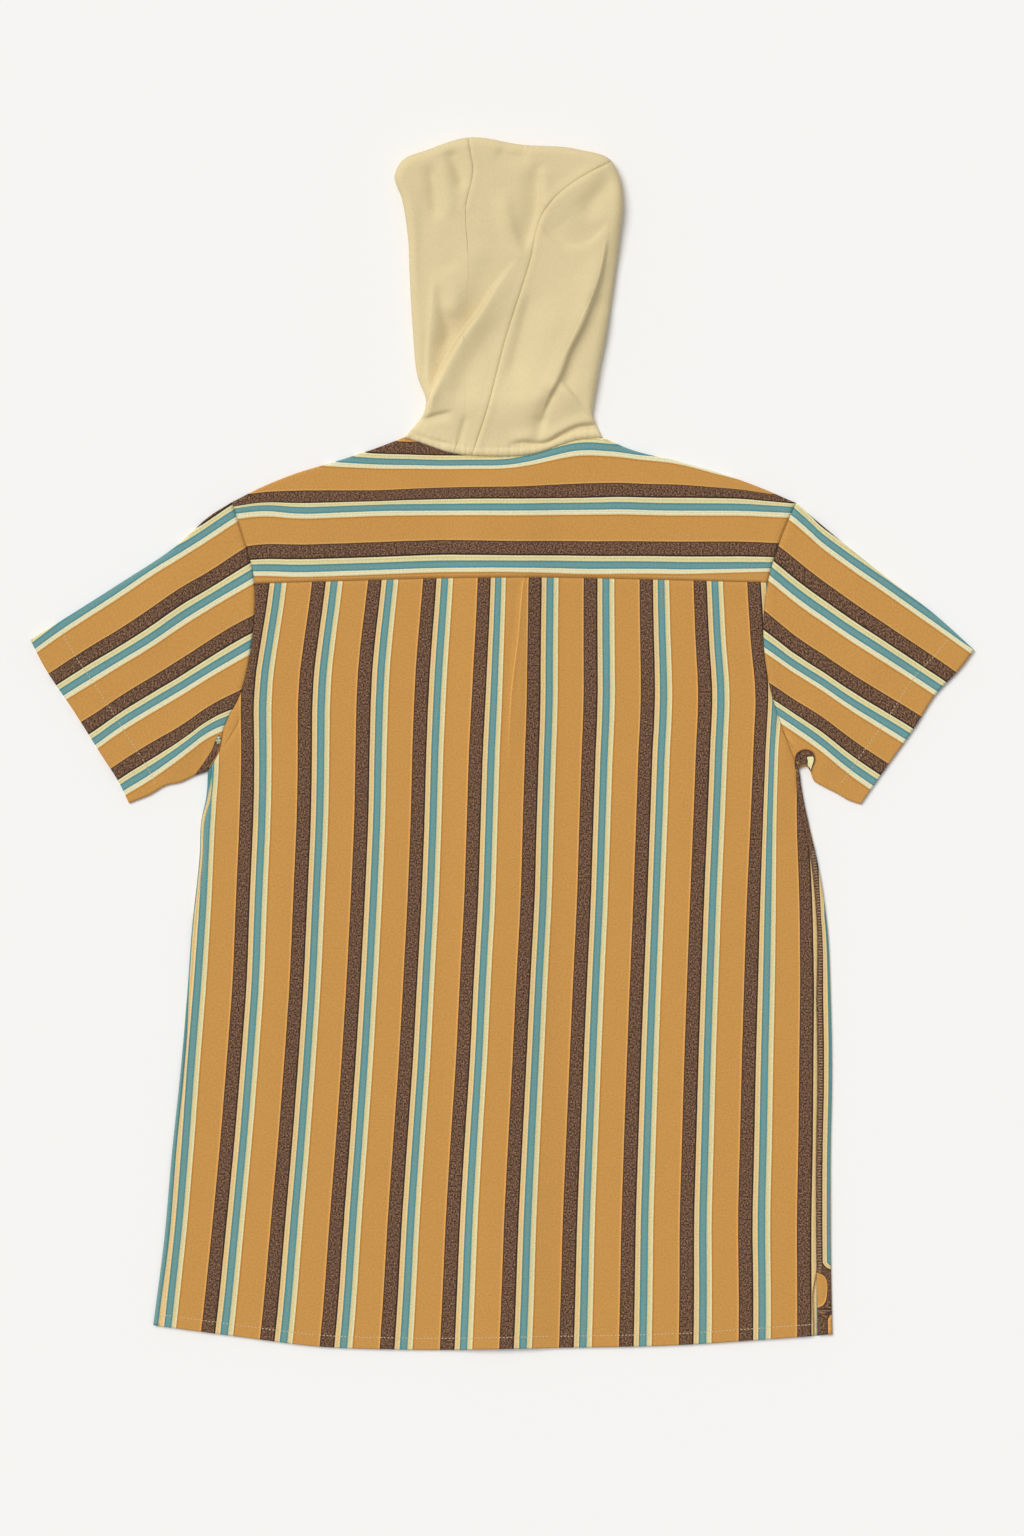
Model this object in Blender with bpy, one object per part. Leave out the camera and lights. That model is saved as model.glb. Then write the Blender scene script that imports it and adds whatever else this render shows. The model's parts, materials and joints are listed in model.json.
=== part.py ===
"""A short-sleeved shirt with a hood, laid out flat with its back up.

The shirt is one upper skin and one lower skin of cloth that meet along the folded outline. Both skins are
height functions of a place on the table, and each sewn piece is a part of them: it is laid out between the
seams that bound it, given its height, drawn back a little from each seam and thickened to a wall.

Lengths in the tables are millimetres. +X is to the right, +Y to the hood, +Z up from the table.
"""

import math
from collections import namedtuple

import bmesh
import bpy
import numpy as np
from mathutils import Matrix, Vector

MM = 0.001

# Cloth
CLOTH = 1.2
HOOD_CLOTH = 1.6
SEAM_GAP = 0.3
NECK_EASE = 0.3  # more room along the yoke's neck edge, which has fewer places than the hood's
CORNER_EASE = 2.4  # how far the cloth of a folded edge stops short of a sharp inner corner
SHOULDER_EASE = 0.4  # the same where the folded shoulder meets the hood
CHORD = 6.0  # a seam's direction at its end is taken over this length
UPPER_LAYER = 3.2  # middle of the upper cloth, where it lies over one lower layer
EDGE_RADIUS = 1.4  # roundness of the folded outline, out from the middle of the cloth
HOOD_EDGE_RADIUS = 6.5
HOOD_LOFT = 11.0  # how much higher the hood's upper cloth lies than the shirt's
HOOD_RISE_LENGTH = 46.0  # the hood climbs to that height over this length above the neck seam
EDGE_STEPS = (1.0, 0.3, 0.0)  # places across a folded edge, as parts of its radius
EASE_SHARES = (0.16, 1.0, 1.16)  # how much of a corner's ease each of them gets

# Vent in the right side seam
VENT_TOP_Y = -458.0
VENT_WIDTH = 4.0
VENT_FADE = 20.0

# Front opening and buttons, hidden below
CENTER_X = 1.0
BAND_HALF_WIDTH = 15.0
BAND_SLOPE = 24.0
BAND_SWELL = 3.2  # how much the buttoned bands below lift the upper cloth
BAND_TOP_Y = 248.0
BAND_TOP_FADE = 35.0
NECKLINE_FADE = 25.0
NECKLINE_Y = 185.0  # lowest place of the front neckline
FACE_EDGE_GAP = 6.0
YOKE_TURN = 25.0  # how far the yoke reaches over the shoulder to the lower side
BUTTON_DIAMETER = 11.5
BUTTON_THICKNESS = 2.0
BUTTON_COUNT = 6
FIRST_BUTTON_Y = 166.0
BUTTON_SPACING = 100.0

# Hidden layers in the hood
CORE_INSET = 13.0
CORE_FLOOR = HOOD_CLOTH + SEAM_GAP
CORE_DROP = 6.0  # from the hood's smooth upper surface down to the top of its hidden layers
CORE_LAYERS = 3
CORE_BULGE = 2.0
CORE_CORNER = 14.0

# How finely each stretch is divided
SIDE_ROWS = 12
BACK_ARMHOLE_ROWS = 6
YOKE_ROWS = 4
FRONT_ARMHOLE_ROWS = 6
TURN_ROWS = 2
SLEEVE_ROWS = 10
SHOULDER_COLUMNS = 5
HOOD_ROWS = 20
LEFT_HOOD_COLUMNS = 8
CENTER_HOOD_COLUMNS = 8
CROWN_CROWDING = 1.6  # draws the middle panel's places on the crown towards its tight right corner
RIGHT_HOOD_COLUMNS = 12
NECK_SKIPS = (2, 8, 2)  # the yoke keeps every so many of the neck seam's places, for each hood panel
FLAP_ROWS = 3
BAND_COLUMNS = 2

SideRow = namedtuple("SideRow", "left_x left_y right_x right_y")
SIDES = (  # folded side edges, from hem to armpit
    SideRow(-303, -506, 286.5, -514),
    SideRow(-293.5, -432, 285, -432),
    SideRow(-286.5, -354, 285, -354),
    SideRow(-280, -293, 286, -293),
    SideRow(-273.5, -219, 285, -219),
    SideRow(-269, -158, 282, -158),
    SideRow(-263, -97, 273.5, -97),
    SideRow(-257, -50, 262.5, -55),
    SideRow(-251, -13, 257.5, -22),
)
SeamRow = namedtuple("SeamRow", "y left right")
SIDE_SEAMS = (  # how far in from the folded edges the side seams lie, on the upper side
    SeamRow(-530, 5, 12),
    SeamRow(-223, 5, 12),
    SeamRow(-150, 4.8, 8.5),
    SeamRow(-90, 4.6, 6),
    SeamRow(-13, 5, 8),
)
ARMHOLES = (  # from shoulder to armpit
    SideRow(-235, 209.5, 255.3, 208.8),
    SideRow(-227.5, 187, 245, 185),
    SideRow(-215.3, 139.2, 231, 140.1),
    SideRow(-217, 95, 227, 95),
    SideRow(-227, 45, 233, 48),
    SideRow(-240, 18, 245, 10),
    SideRow(-251, -13, 257.5, -22),
)
SHOULDERS = (  # folded shoulder edges, from sleeve to neck
    SideRow(-235, 209.5, 255.3, 208.8),
    SideRow(-206.6, 223.6, 220.5, 223.6),
    SideRow(-180.5, 234, 191, 234),
    SideRow(-145.7, 244.5, 154.4, 244.5),
    SideRow(-113.5, 255, 111, 255.5),
    SideRow(-84, 266.2, 86, 266.2),
)
SleeveRow = namedtuple("SleeveRow", "top_x top_y under_x under_y cuff_x cuff_y")
LEFT_SLEEVE = (  # top and under edges from shoulder to cuff, and the cuff from its top corner down
    SleeveRow(-235, 209.5, -251, -13, -410.2, 89.6),
    SleeveRow(-254, 197.5, -267, -27, -399, 68),
    SleeveRow(-280, 174, -280, -33, -373, 28.7),
    SleeveRow(-332, 139, -293, -36, -348.4, -10.4),
    SleeveRow(-384, 106, -306, -43.5, -332, -36.5),
    SleeveRow(-410.2, 89.6, -325, -51.3, -325, -51.3),
)
RIGHT_SLEEVE = (
    SleeveRow(255.3, 208.8, 257.5, -22, 410.2, 81),
    SleeveRow(270, 196, 270, -31.3, 400.6, 68),
    SleeveRow(291, 178.4, 280.6, -37.4, 376.3, 41.8),
    SleeveRow(333, 144.4, 291, -42.6, 359.7, 15.7),
    SleeveRow(374.5, 113, 301.5, -48.7, 331.9, -23.5),
    SleeveRow(410.2, 81, 311.9, -52.2, 311.9, -52.2),
)
Place = namedtuple("Place", "x y")
HEM = (
    Place(-303, -506),
    Place(-228, -516),
    Place(-158, -524.5),
    Place(-88, -527),
    Place(51, -525.5),
    Place(155, -523),
    Place(225, -518.5),
    Place(286.5, -514),
)
YOKE_SEAM = (Place(-215.3, 139.2), Place(9, 144.4), Place(231, 140.1))
NECK_SEAM = (
    Place(-84, 266.2),
    Place(-67, 260.4),
    Place(-47.4, 253.6),
    Place(-8.6, 250),
    Place(30, 252.6),
    Place(49.7, 259.4),
    Place(65, 264.3),
    Place(86, 266.2),
)
FRONT_NECKLINE = (
    Place(-84, 266.2),
    Place(-77, 236),
    Place(-60, 208),
    Place(-34, 191),
    Place(1, 185),
    Place(36, 191),
    Place(62, 208),
    Place(79, 236),
    Place(86, 266.2),
)
HoodRow = namedtuple("HoodRow", "y left right")
HOOD_SIDES = (  # folded side edges of the hood, from neck to crown
    HoodRow(266.2, -84, 86),
    HoodRow(276, -75.3, 81.5),
    HoodRow(287, -67.5, 77.5),
    HoodRow(297, -65.5, 78.5),
    HoodRow(318, -72.5, 82),
    HoodRow(359, -77, 90),
    HoodRow(401, -79.5, 96),
    HoodRow(443, -81.5, 101.5),
    HoodRow(474, -86.5, 104),
    HoodRow(495, -92.7, 100.5),
)
CROWN = (  # folded top edge of the hood, between the side edges' last rows
    Place(-87.4, 505.5),
    Place(-64, 516),
    Place(-30, 526.4),
    Place(16, 520.3),
    Place(66.6, 516),
    Place(94.4, 506.3),
)
LEFT_HOOD_SEAM = (  # from the neck seam to the crown
    Place(-42.5, 252.8),
    Place(-36, 271),
    Place(-33.5, 346),
    Place(-29.5, 422),
    Place(-31.5, 467),
    Place(-25.5, 501),
    Place(-30, 526.4),
)
RIGHT_HOOD_SEAM = (
    Place(-26, 251.2),
    Place(-14.8, 284.5),
    Place(3, 352),
    Place(24, 418.5),
    Place(36, 462),
    Place(47, 476),
    Place(68, 492),
    Place(94.4, 506.3),
)
LEFT_FACE_EDGE = (  # lower side: from the front neckline up to the middle panel's turned-under end
    Place(-2, 185),
    Place(-2, 280),
    Place(-2, 360),
    Place(-4, 400),
    Place(-13, 442),
    Place(-29, 478),
)
RIGHT_FACE_EDGE = (
    Place(4, 185),
    Place(4, 270),
    Place(4, 345),
    Place(7, 385),
    Place(22, 418),
    Place(50, 444),
    Place(88, 466),
)
LEFT_CORNER = Place(-92.7, 495)
RIGHT_CORNER = Place(101.5, 443)

# A fold is a ridge (or, with a negative height, a trough) along a line. Its two sides, seen along the line
# from its first place to its last, have their own widths.
Fold = namedtuple("Fold", "height left_width right_width places")
HOOD_FOLDS = (
    Fold(7.5, 26, 9, (Place(12, 429), Place(-6, 394), Place(-38, 348), Place(-52, 324), Place(-64, 296))),
    Fold(-3.5, 14, 12, (Place(-24, 410), Place(-50, 366), Place(-64, 330))),
    Fold(7.0, 9, 30, (Place(90, 436), Place(77, 392), Place(54, 334), Place(34, 288), Place(27, 274))),
    Fold(3.0, 8, 10, (Place(44, 312), Place(60, 294), Place(78, 278))),
    Fold(3.0, 8, 10, (Place(-60, 394), Place(-66, 345), Place(-66, 300))),
    Fold(-3.0, 16, 20, (Place(33, 503), Place(31, 470), Place(36, 440))),
    Fold(-2.5, 12, 12, (Place(-62, 506), Place(-62, 480), Place(-60, 450))),
    Fold(3.5, 12, 16, (Place(60, 500), Place(80, 470), Place(66, 446))),
)
SHIRT_FOLDS = (
    Fold(1.2, 8, 4, (Place(18.7, 143), Place(14, 89), Place(8, 55), Place(6, 3))),
    Fold(1.4, 10, 14, (Place(-236, 20), Place(-226, -30), Place(-222, -80))),
    Fold(1.6, 10, 12, (Place(246, 12), Place(240, -30), Place(238, -90))),
    Fold(1.5, 16, 22, (Place(-262, 168), Place(-300, 110), Place(-330, 60))),
    Fold(1.5, 20, 16, (Place(282, 160), Place(320, 100), Place(340, 50))),
    Fold(1.6, 12, 18, (Place(-246, 40), Place(-272, 0), Place(-300, -30))),
    Fold(1.6, 18, 12, (Place(250, 40), Place(272, 0), Place(292, -32))),
    Fold(1.2, 22, 26, (Place(-170, 60), Place(-190, -160), Place(-205, -420))),
    Fold(1.0, 26, 22, (Place(150, 70), Place(160, -180), Place(175, -440))),
    Fold(0.9, 20, 24, (Place(-190, 196), Place(-120, 204), Place(-60, 214))),
)
FOLD_FADE = 0.25  # part of a fold's length over which it fades at each end

Finish = namedtuple("Finish", "color roughness")
OCHRE = Finish((0.58, 0.31, 0.08, 1), 0.85)
BEIGE = Finish((0.73, 0.62, 0.38, 1), 0.8)
HORN = Finish((0.16, 0.09, 0.05, 1), 0.35)

UPPER, LOWER = 1, -1
Patch = namedtuple("Patch", "plan side")  # plan is rows of columns of places


# Lines on the table


class Line:
    """A smooth line through a few places, measured by the distance along it."""

    SAMPLES = 400

    def __init__(self, places):
        knots = np.array(places, float)
        spans = np.hypot(*np.diff(knots, axis=0).T)
        marks = np.concatenate([[0.0], np.cumsum(spans)])
        ways = np.gradient(knots, marks, axis=0)
        reach = np.linspace(0, marks[-1], self.SAMPLES)
        part = np.clip(np.searchsorted(marks, reach, side="right") - 1, 0, len(spans) - 1)
        span = spans[part][:, None]
        t = (reach - marks[part])[:, None] / span
        self.places = (
            (1 + 2 * t) * (1 - t) ** 2 * knots[part]
            + t * (1 - t) ** 2 * span * ways[part]
            + t**2 * (3 - 2 * t) * knots[part + 1]
            + t**2 * (t - 1) * span * ways[part + 1]
        )
        steps = np.hypot(*np.diff(self.places, axis=0).T)
        self.reach = np.concatenate([[0.0], np.cumsum(steps)])
        self.length = self.reach[-1]

    def at(self, distances):
        return np.stack([np.interp(distances, self.reach, axis) for axis in self.places.T], axis=-1)

    def spots(self, count, start=0.0, stop=None, crowding=1.0):
        """count + 1 places from one distance to another, evenly spread or crowded towards the last."""
        stop = self.length if stop is None else stop
        return self.at(stop + (start - stop) * np.linspace(1, 0, count + 1) ** crowding)

    def nearest(self, place):
        """The distance along the line to its nearest place."""
        return self.reach[np.argmin(np.hypot(*(self.places - place).T))]


def column(rows, x_name, y_name):
    return [(getattr(row, x_name), getattr(row, y_name)) for row in rows]


def smooth_step(x):
    x = np.clip(x, 0, 1)
    return x * x * (3 - 2 * x)


def unit(ways):
    return ways / np.linalg.norm(ways, axis=-1, keepdims=True)


def nearest_on(line, plan):
    """(signed distance, part of the way along) from each place to a line. Left of the line is positive."""
    starts = line.places[:-1]
    spans = np.diff(line.places, axis=0)
    away = plan[..., None, :] - starts
    share = np.clip((away * spans).sum(-1) / (spans**2).sum(-1), 0, 1)
    off = away - share[..., None] * spans
    distance = np.hypot(off[..., 0], off[..., 1])
    best = distance.argmin(-1)[..., None]
    turn = np.take_along_axis(spans[:, 0] * away[..., 1] - spans[:, 1] * away[..., 0], best, -1)[..., 0]
    along = line.reach[best[..., 0]] / line.length
    return np.copysign(np.take_along_axis(distance, best, -1)[..., 0], turn), along


class Half:
    """The lines of one half of the shirt, left or right."""

    def __init__(self, name, sleeve, inward):
        x_name, y_name = name + "_x", name + "_y"
        self.name = name
        self.inward = inward
        self.seam_inset = getattr(SIDE_SEAMS[-1], name)
        self.side = Line(column(SIDES, x_name, y_name))
        self.armhole = Line(column(ARMHOLES, x_name, y_name))
        self.shoulder = Line(column(SHOULDERS, x_name, y_name))
        self.sleeve_top = Line(column(sleeve, "top_x", "top_y"))
        self.sleeve_under = Line(column(sleeve, "under_x", "under_y"))
        self.cuff = Line(column(sleeve, "cuff_x", "cuff_y"))
        armpit_way = self.armhole.at([self.armhole.length - CHORD, self.armhole.length])
        self.up_armhole = unit(armpit_way[0] - armpit_way[1])
        shoulder_way = self.armhole.at([0, CHORD])
        self.down_armhole = unit(shoulder_way[1] - shoulder_way[0])
        self.seam_on_armhole = self.armhole.nearest(YOKE_SEAM[0] if name == "left" else YOKE_SEAM[-1])


HALVES = {
    "left": Half("left", LEFT_SLEEVE, inward=1),
    "right": Half("right", RIGHT_SLEEVE, inward=-1),
}
HOOD_LINE = Line(
    [(row.left, row.y) for row in HOOD_SIDES]
    + list(CROWN)
    + [(row.right, row.y) for row in reversed(HOOD_SIDES)]
)
NECK_LINE = Line(NECK_SEAM)
NECKLINE = Line(FRONT_NECKLINE)
YOKE_LINE = Line(YOKE_SEAM)
FOLDED_EDGES = [HOOD_LINE] + [
    line
    for half in HALVES.values()
    for line in (half.side, half.sleeve_under, half.sleeve_top, half.shoulder)
]
HOOD_FOLD_LINES = [(fold, Line(fold.places)) for fold in HOOD_FOLDS]
SHIRT_FOLD_LINES = [(fold, Line(fold.places)) for fold in SHIRT_FOLDS]


def hem_places(xs):
    hem = Line(HEM)
    return np.stack([xs, np.interp(xs, hem.places[:, 0], hem.places[:, 1])], axis=-1)


# Heights


def above_neck(plan):
    """How far each place lies above the neck seam, less than 0 on the shirt."""
    return plan[..., 1] - np.interp(plan[..., 0], NECK_LINE.places[:, 0], NECK_LINE.places[:, 1])


def fold_height(folds, plan):
    total = np.zeros(plan.shape[:-1])
    for fold, line in folds:
        off, along = nearest_on(line, plan)
        width = np.where(off > 0, fold.left_width, fold.right_width)
        fade = smooth_step(along / FOLD_FADE) * smooth_step((1 - along) / FOLD_FADE)
        total += fold.height * np.exp(-((off / width) ** 2)) * fade
    return total


def over_band(plan):
    """1 over the buttoned bands and their slopes, 0 away from them."""
    off = np.abs(plan[..., 0] - CENTER_X)
    across = smooth_step((2 * BAND_HALF_WIDTH + BAND_SLOPE - off) / (BAND_HALF_WIDTH + BAND_SLOPE))
    return across * smooth_step((BAND_TOP_Y - plan[..., 1]) / BAND_TOP_FADE)


def upper_height(plan, with_hood_folds=True):
    """Middle of the upper cloth, away from the folded edges."""
    lift = smooth_step(above_neck(plan) / HOOD_RISE_LENGTH)
    height = UPPER_LAYER + BAND_SWELL * over_band(plan) + HOOD_LOFT * lift
    height += fold_height(SHIRT_FOLD_LINES, plan) * (1 - lift)
    if with_hood_folds:
        height += fold_height(HOOD_FOLD_LINES, plan) * lift
    return height


def roundness(plan):
    """0 at the folded outline, 1 from its radius inwards, on a quarter circle between."""
    lift = smooth_step(above_neck(plan) / HOOD_RISE_LENGTH)
    radius = EDGE_RADIUS + (HOOD_EDGE_RADIUS - EDGE_RADIUS) * lift
    inside = np.min([np.abs(nearest_on(line, plan)[0]) for line in FOLDED_EDGES], axis=0)
    return np.sqrt(1 - (1 - np.clip(inside / radius, 0, 1)) ** 2)


def band_lift(plan, edge_side, height):
    """Lifts a front at the buttoned band. edge_side is the side that the front comes from."""
    reach = (plan[..., 0] - CENTER_X) * edge_side
    across = smooth_step((BAND_HALF_WIDTH + BAND_SLOPE + 1 - reach) / BAND_SLOPE)
    below_neckline = np.interp(plan[..., 0], NECKLINE.places[:, 0], NECKLINE.places[:, 1])
    return height * across * smooth_step(1 - (plan[..., 1] - below_neckline) / NECKLINE_FADE)


OUTER_LIFT = BUTTON_THICKNESS + SEAM_GAP
INNER_LIFT = OUTER_LIFT + CLOTH + SEAM_GAP


def heights(patch, wall, lower_lift=None):
    upper = upper_height(patch.plan)
    middle = (upper + wall / 2) / 2
    rounded = roundness(patch.plan)
    if patch.side == UPPER:
        return middle + (upper - middle) * rounded
    lower = wall / 2 + (0 if lower_lift is None else lower_lift(patch.plan))
    return middle - (middle - lower) * rounded


# Laying out pieces between their seams


def spread(bottom, top, left, right):
    """A patch between four edges: bottom and top have a place per column, left and right one per row."""
    lengths = np.hypot(*np.diff(left, axis=0).T) + np.hypot(*np.diff(right, axis=0).T)
    v = np.concatenate([[0.0], np.cumsum(lengths)]) / lengths.sum()
    widths = np.hypot(*np.diff(bottom, axis=0).T) + np.hypot(*np.diff(top, axis=0).T)
    u = np.concatenate([[0.0], np.cumsum(widths)]) / widths.sum()
    u, v = u[None, :, None], v[:, None, None]
    ends = (
        (1 - u) * (1 - v) * bottom[0]
        + u * (1 - v) * bottom[-1]
        + (1 - u) * v * top[0]
        + u * v * top[-1]
    )
    return (1 - v) * bottom + v * top + (1 - u) * left[:, None] + u * right[:, None] - ends


def ways_in(places, side):
    """The direction square to the line at each place. side is 1 for its left, -1 for its right."""
    along = unit(np.gradient(places, axis=0))
    return side * np.stack([-along[:, 1], along[:, 0]], axis=-1)


def turned(ways, first=None, last=None, blend=2):
    """The same directions, swung at an end towards the seam that runs into the edge there."""
    ways = ways.copy()
    for way, order in ((first, range(blend)), (last, range(-1, -1 - blend, -1))):
        if way is not None:
            for step, index in enumerate(order):
                share = 1 - step / blend
                ways[index] = unit(ways[index] * (1 - share) + np.array(way) * share)
    return ways


def edge_band(outline, upper_ways, lower_ways, radii, first_ease=0.0, last_ease=0.0):
    """The cloth that turns round a folded edge, as an upper and a lower patch.

    At an end with an ease the outermost cloth stops short of the corner by that much.
    """
    ease = np.zeros_like(outline)
    ease[0] = first_ease * unit(outline[1] - outline[0])
    ease[-1] = last_ease * unit(outline[-2] - outline[-1])
    bands = []
    for ways, side in ((upper_ways, UPPER), (lower_ways, LOWER)):
        steps = [
            outline + ways * (radii * step)[:, None] + ease * share
            for step, share in zip(EDGE_STEPS, EASE_SHARES)
        ]
        bands.append(Patch(np.stack(steps, axis=1), side))
    return bands


# Making the sewn pieces


def finish_material(name, finish):
    material = bpy.data.materials.new(name)
    material.use_nodes = True
    shader = material.node_tree.nodes["Principled BSDF"]
    shader.inputs["Base Color"].default_value = finish.color
    shader.inputs["Roughness"].default_value = finish.roughness
    shader.inputs["Metallic"].default_value = 0
    material.diffuse_color = finish.color
    return material


def draw_back(bm, distance):
    """Moves each open edge of the cloth inwards, along the cloth."""
    moves = {}
    for vert in bm.verts:
        edges = [edge for edge in vert.link_edges if edge.is_boundary]
        if len(edges) != 2:
            continue
        ways = []
        for edge in edges:
            face = edge.link_faces[0]
            along = (edge.verts[1].co - edge.verts[0].co).normalized()
            way = face.normal.cross(along).normalized()
            if way.dot(face.calc_center_median() - edge.verts[0].co) < 0:
                way.negate()
            ways.append(way)
        middle = (ways[0] + ways[1]).normalized()
        moves[vert] = middle * (distance / max(middle.dot(ways[0]), 0.5))
    for vert, move in moves.items():
        vert.co += move


def merge_flat_faces(bm, level):
    """Joins the faces that lie on the table into a few large ones. The edge's own places stay."""
    flat = {face for face in bm.faces if all(abs(vert.co.z - level) < 1e-6 for vert in face.verts)}
    inner = [edge for edge in bm.edges if len(edge.link_faces) == 2 and flat.issuperset(edge.link_faces)]
    bmesh.ops.dissolve_limit(
        bm, angle_limit=math.radians(0.2), edges=inner, verts=[], use_dissolve_boundaries=False
    )


def sew(name, patches, wall, material, lower_lift=None):
    """One cloth piece: its patches joined, drawn back from the seams and thickened."""
    bm = bmesh.new()
    for patch in patches:
        height = heights(patch, wall, lower_lift)
        rows = [
            [bm.verts.new((x * MM, y * MM, z * MM)) for (x, y), z in zip(places, levels)]
            for places, levels in zip(patch.plan, height)
        ]
        for near, far in zip(rows, rows[1:]):
            for a, b, c, d in zip(near, near[1:], far[1:], far):
                bm.faces.new((a, b, c, d))
    bmesh.ops.remove_doubles(bm, verts=bm.verts, dist=0.02 * MM)
    bmesh.ops.recalc_face_normals(bm, faces=bm.faces)
    bm.normal_update()
    draw_back(bm, SEAM_GAP / 2 * MM)
    merge_flat_faces(bm, wall / 2 * MM)
    mesh = bpy.data.meshes.new(name)
    bm.to_mesh(mesh)
    bm.free()
    mesh.shade_smooth()
    piece = bpy.data.objects.new(name, mesh)
    bpy.context.scene.collection.objects.link(piece)
    piece.data.materials.append(material)
    thicken = piece.modifiers.new("wall", "SOLIDIFY")
    thicken.thickness = wall * MM
    thicken.offset = 0
    thicken.use_quality_normals = True
    return piece


# Seams: each is a list of places that both of its pieces share


def side_places(half):
    """(folded edge, directions in from it) from hem to armpit."""
    outline = half.side.spots(SIDE_ROWS)
    ways = turned(ways_in(outline, -half.inward), last=half.up_armhole)
    return outline, ways


def side_seam(half, vent=0.0):
    """The side seam on the upper side, from hem to armpit, moved in at the vent."""
    outline, ways = side_places(half)
    into_vent = np.clip((VENT_TOP_Y - outline[:, 1]) / VENT_FADE, 0, 1)
    inset = np.interp(outline[:, 1], [row.y for row in SIDE_SEAMS], [getattr(row, half.name) for row in SIDE_SEAMS])
    return outline + ways * (inset + vent * into_vent)[:, None]


def upper_armhole(half):
    """Upper side, from armpit seam to shoulder: (back's places, yoke's places)."""
    pit = half.armhole.length - half.seam_inset
    back = half.armhole.spots(BACK_ARMHOLE_ROWS, pit, half.seam_on_armhole)
    yoke = half.armhole.spots(YOKE_ROWS, half.seam_on_armhole, EDGE_RADIUS)
    return back, yoke


def lower_armhole(half):
    """Lower side, from armpit to shoulder: (front's places, the turned-over yoke's places)."""
    pit = half.armhole.length - EDGE_RADIUS
    front = half.armhole.spots(FRONT_ARMHOLE_ROWS, pit, YOKE_TURN)
    yoke = half.armhole.spots(TURN_ROWS, YOKE_TURN, EDGE_RADIUS)
    return front, yoke


def neckline_way(half):
    """The direction in which the front neckline leaves the neck point."""
    ends = (0, CHORD) if half.name == "left" else (NECKLINE.length, NECKLINE.length - CHORD)
    places = NECKLINE.at(ends)
    return unit(places[1] - places[0])


def neck_seam_way(half):
    ends = (0, CHORD) if half.name == "left" else (NECK_LINE.length, NECK_LINE.length - CHORD)
    places = NECK_LINE.at(ends)
    return unit(places[1] - places[0])


def shoulder_band(half):
    """The yoke's cloth round the folded shoulder, from sleeve to neck."""
    outline = half.shoulder.spots(SHOULDER_COLUMNS)
    ways = ways_in(outline, -half.inward)
    upper = turned(ways, half.down_armhole, neck_seam_way(half))
    lower = turned(ways, half.down_armhole, neckline_way(half))
    return edge_band(outline, upper, lower, np.full(len(outline), EDGE_RADIUS), last_ease=SHOULDER_EASE)


def neck_seam_places():
    """The neck seam on the upper side, one list for each hood panel from left to right."""
    marks = [
        EDGE_RADIUS,
        NECK_LINE.nearest(LEFT_HOOD_SEAM[0]),
        NECK_LINE.nearest(RIGHT_HOOD_SEAM[0]),
        NECK_LINE.length - EDGE_RADIUS,
    ]
    counts = (LEFT_HOOD_COLUMNS, CENTER_HOOD_COLUMNS, RIGHT_HOOD_COLUMNS)
    return [NECK_LINE.spots(count, start, stop) for count, start, stop in zip(counts, marks, marks[1:])]


def neckline_places(half):
    """The front neckline, from the neck point: (turned-over yoke's places, front's places)."""
    count = LEFT_HOOD_COLUMNS if half.name == "left" else RIGHT_HOOD_COLUMNS
    face_x = CENTER_X - half.inward * FACE_EDGE_GAP / 2
    end = NECKLINE.nearest((face_x, NECKLINE_Y))
    if half.name == "left":
        start, turn = EDGE_RADIUS, YOKE_TURN
    else:
        start, turn = NECKLINE.length - EDGE_RADIUS, NECKLINE.length - YOKE_TURN
    return NECKLINE.spots(TURN_ROWS, start, turn), NECKLINE.spots(count - TURN_ROWS, turn, end)


def front_shoulder_seam(half):
    """Lower side, from armhole to neckline."""
    start = half.armhole.at(YOKE_TURN)
    end = neckline_places(half)[0][-1]
    outline = half.shoulder.spots(SHOULDER_COLUMNS)
    drop = outline + ways_in(outline, -half.inward) * YOKE_TURN
    share = np.linspace(0, 1, len(drop))[:, None]
    return drop + (start - drop[0]) * (1 - share) + (end - drop[-1]) * share


def join(*parts):
    """One list of places from several that each start where the last ended."""
    return np.concatenate([parts[0]] + [part[1:] for part in parts[1:]])


# The pieces


def make_front(half, band_lift_height, material):
    outline, ways = side_places(half)
    radii = np.full(len(outline), EDGE_RADIUS)
    upper, lower = edge_band(outline, ways, ways, radii, last_ease=CORNER_EASE)
    seam = side_seam(half)
    upper = Patch(np.concatenate([seam[:, None], upper.plan], axis=1), UPPER)
    armhole, _ = lower_armhole(half)
    left = join(lower.plan[:, 0], armhole)
    shoulder = front_shoulder_seam(half)
    neck = neckline_places(half)[1]
    band_edge = CENTER_X + half.inward * BAND_HALF_WIDTH
    band_xs = np.linspace(neck[-1][0], band_edge, BAND_COLUMNS + 1)
    band_top = np.stack([band_xs, np.full(len(band_xs), neck[-1][1])], axis=-1)
    top = join(shoulder, neck, band_top)
    hem_start = left[0][0]
    hem_xs = np.interp(top[:, 0] * half.inward, top[[0, -1], 0] * half.inward, [hem_start, band_edge])
    bottom = hem_places(hem_xs)
    bottom[0] = left[0]
    shares = (left[:, 1] - left[0][1]) / (left[-1][1] - left[0][1])
    right = bottom[-1] + (top[-1] - bottom[-1]) * shares[:, None]
    body = Patch(spread(bottom, top, left, right), LOWER)

    def lift(plan):
        return band_lift(plan, -half.inward, band_lift_height)

    return sew("front_" + half.name, [upper, lower, body], CLOTH, material, lift)


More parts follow.
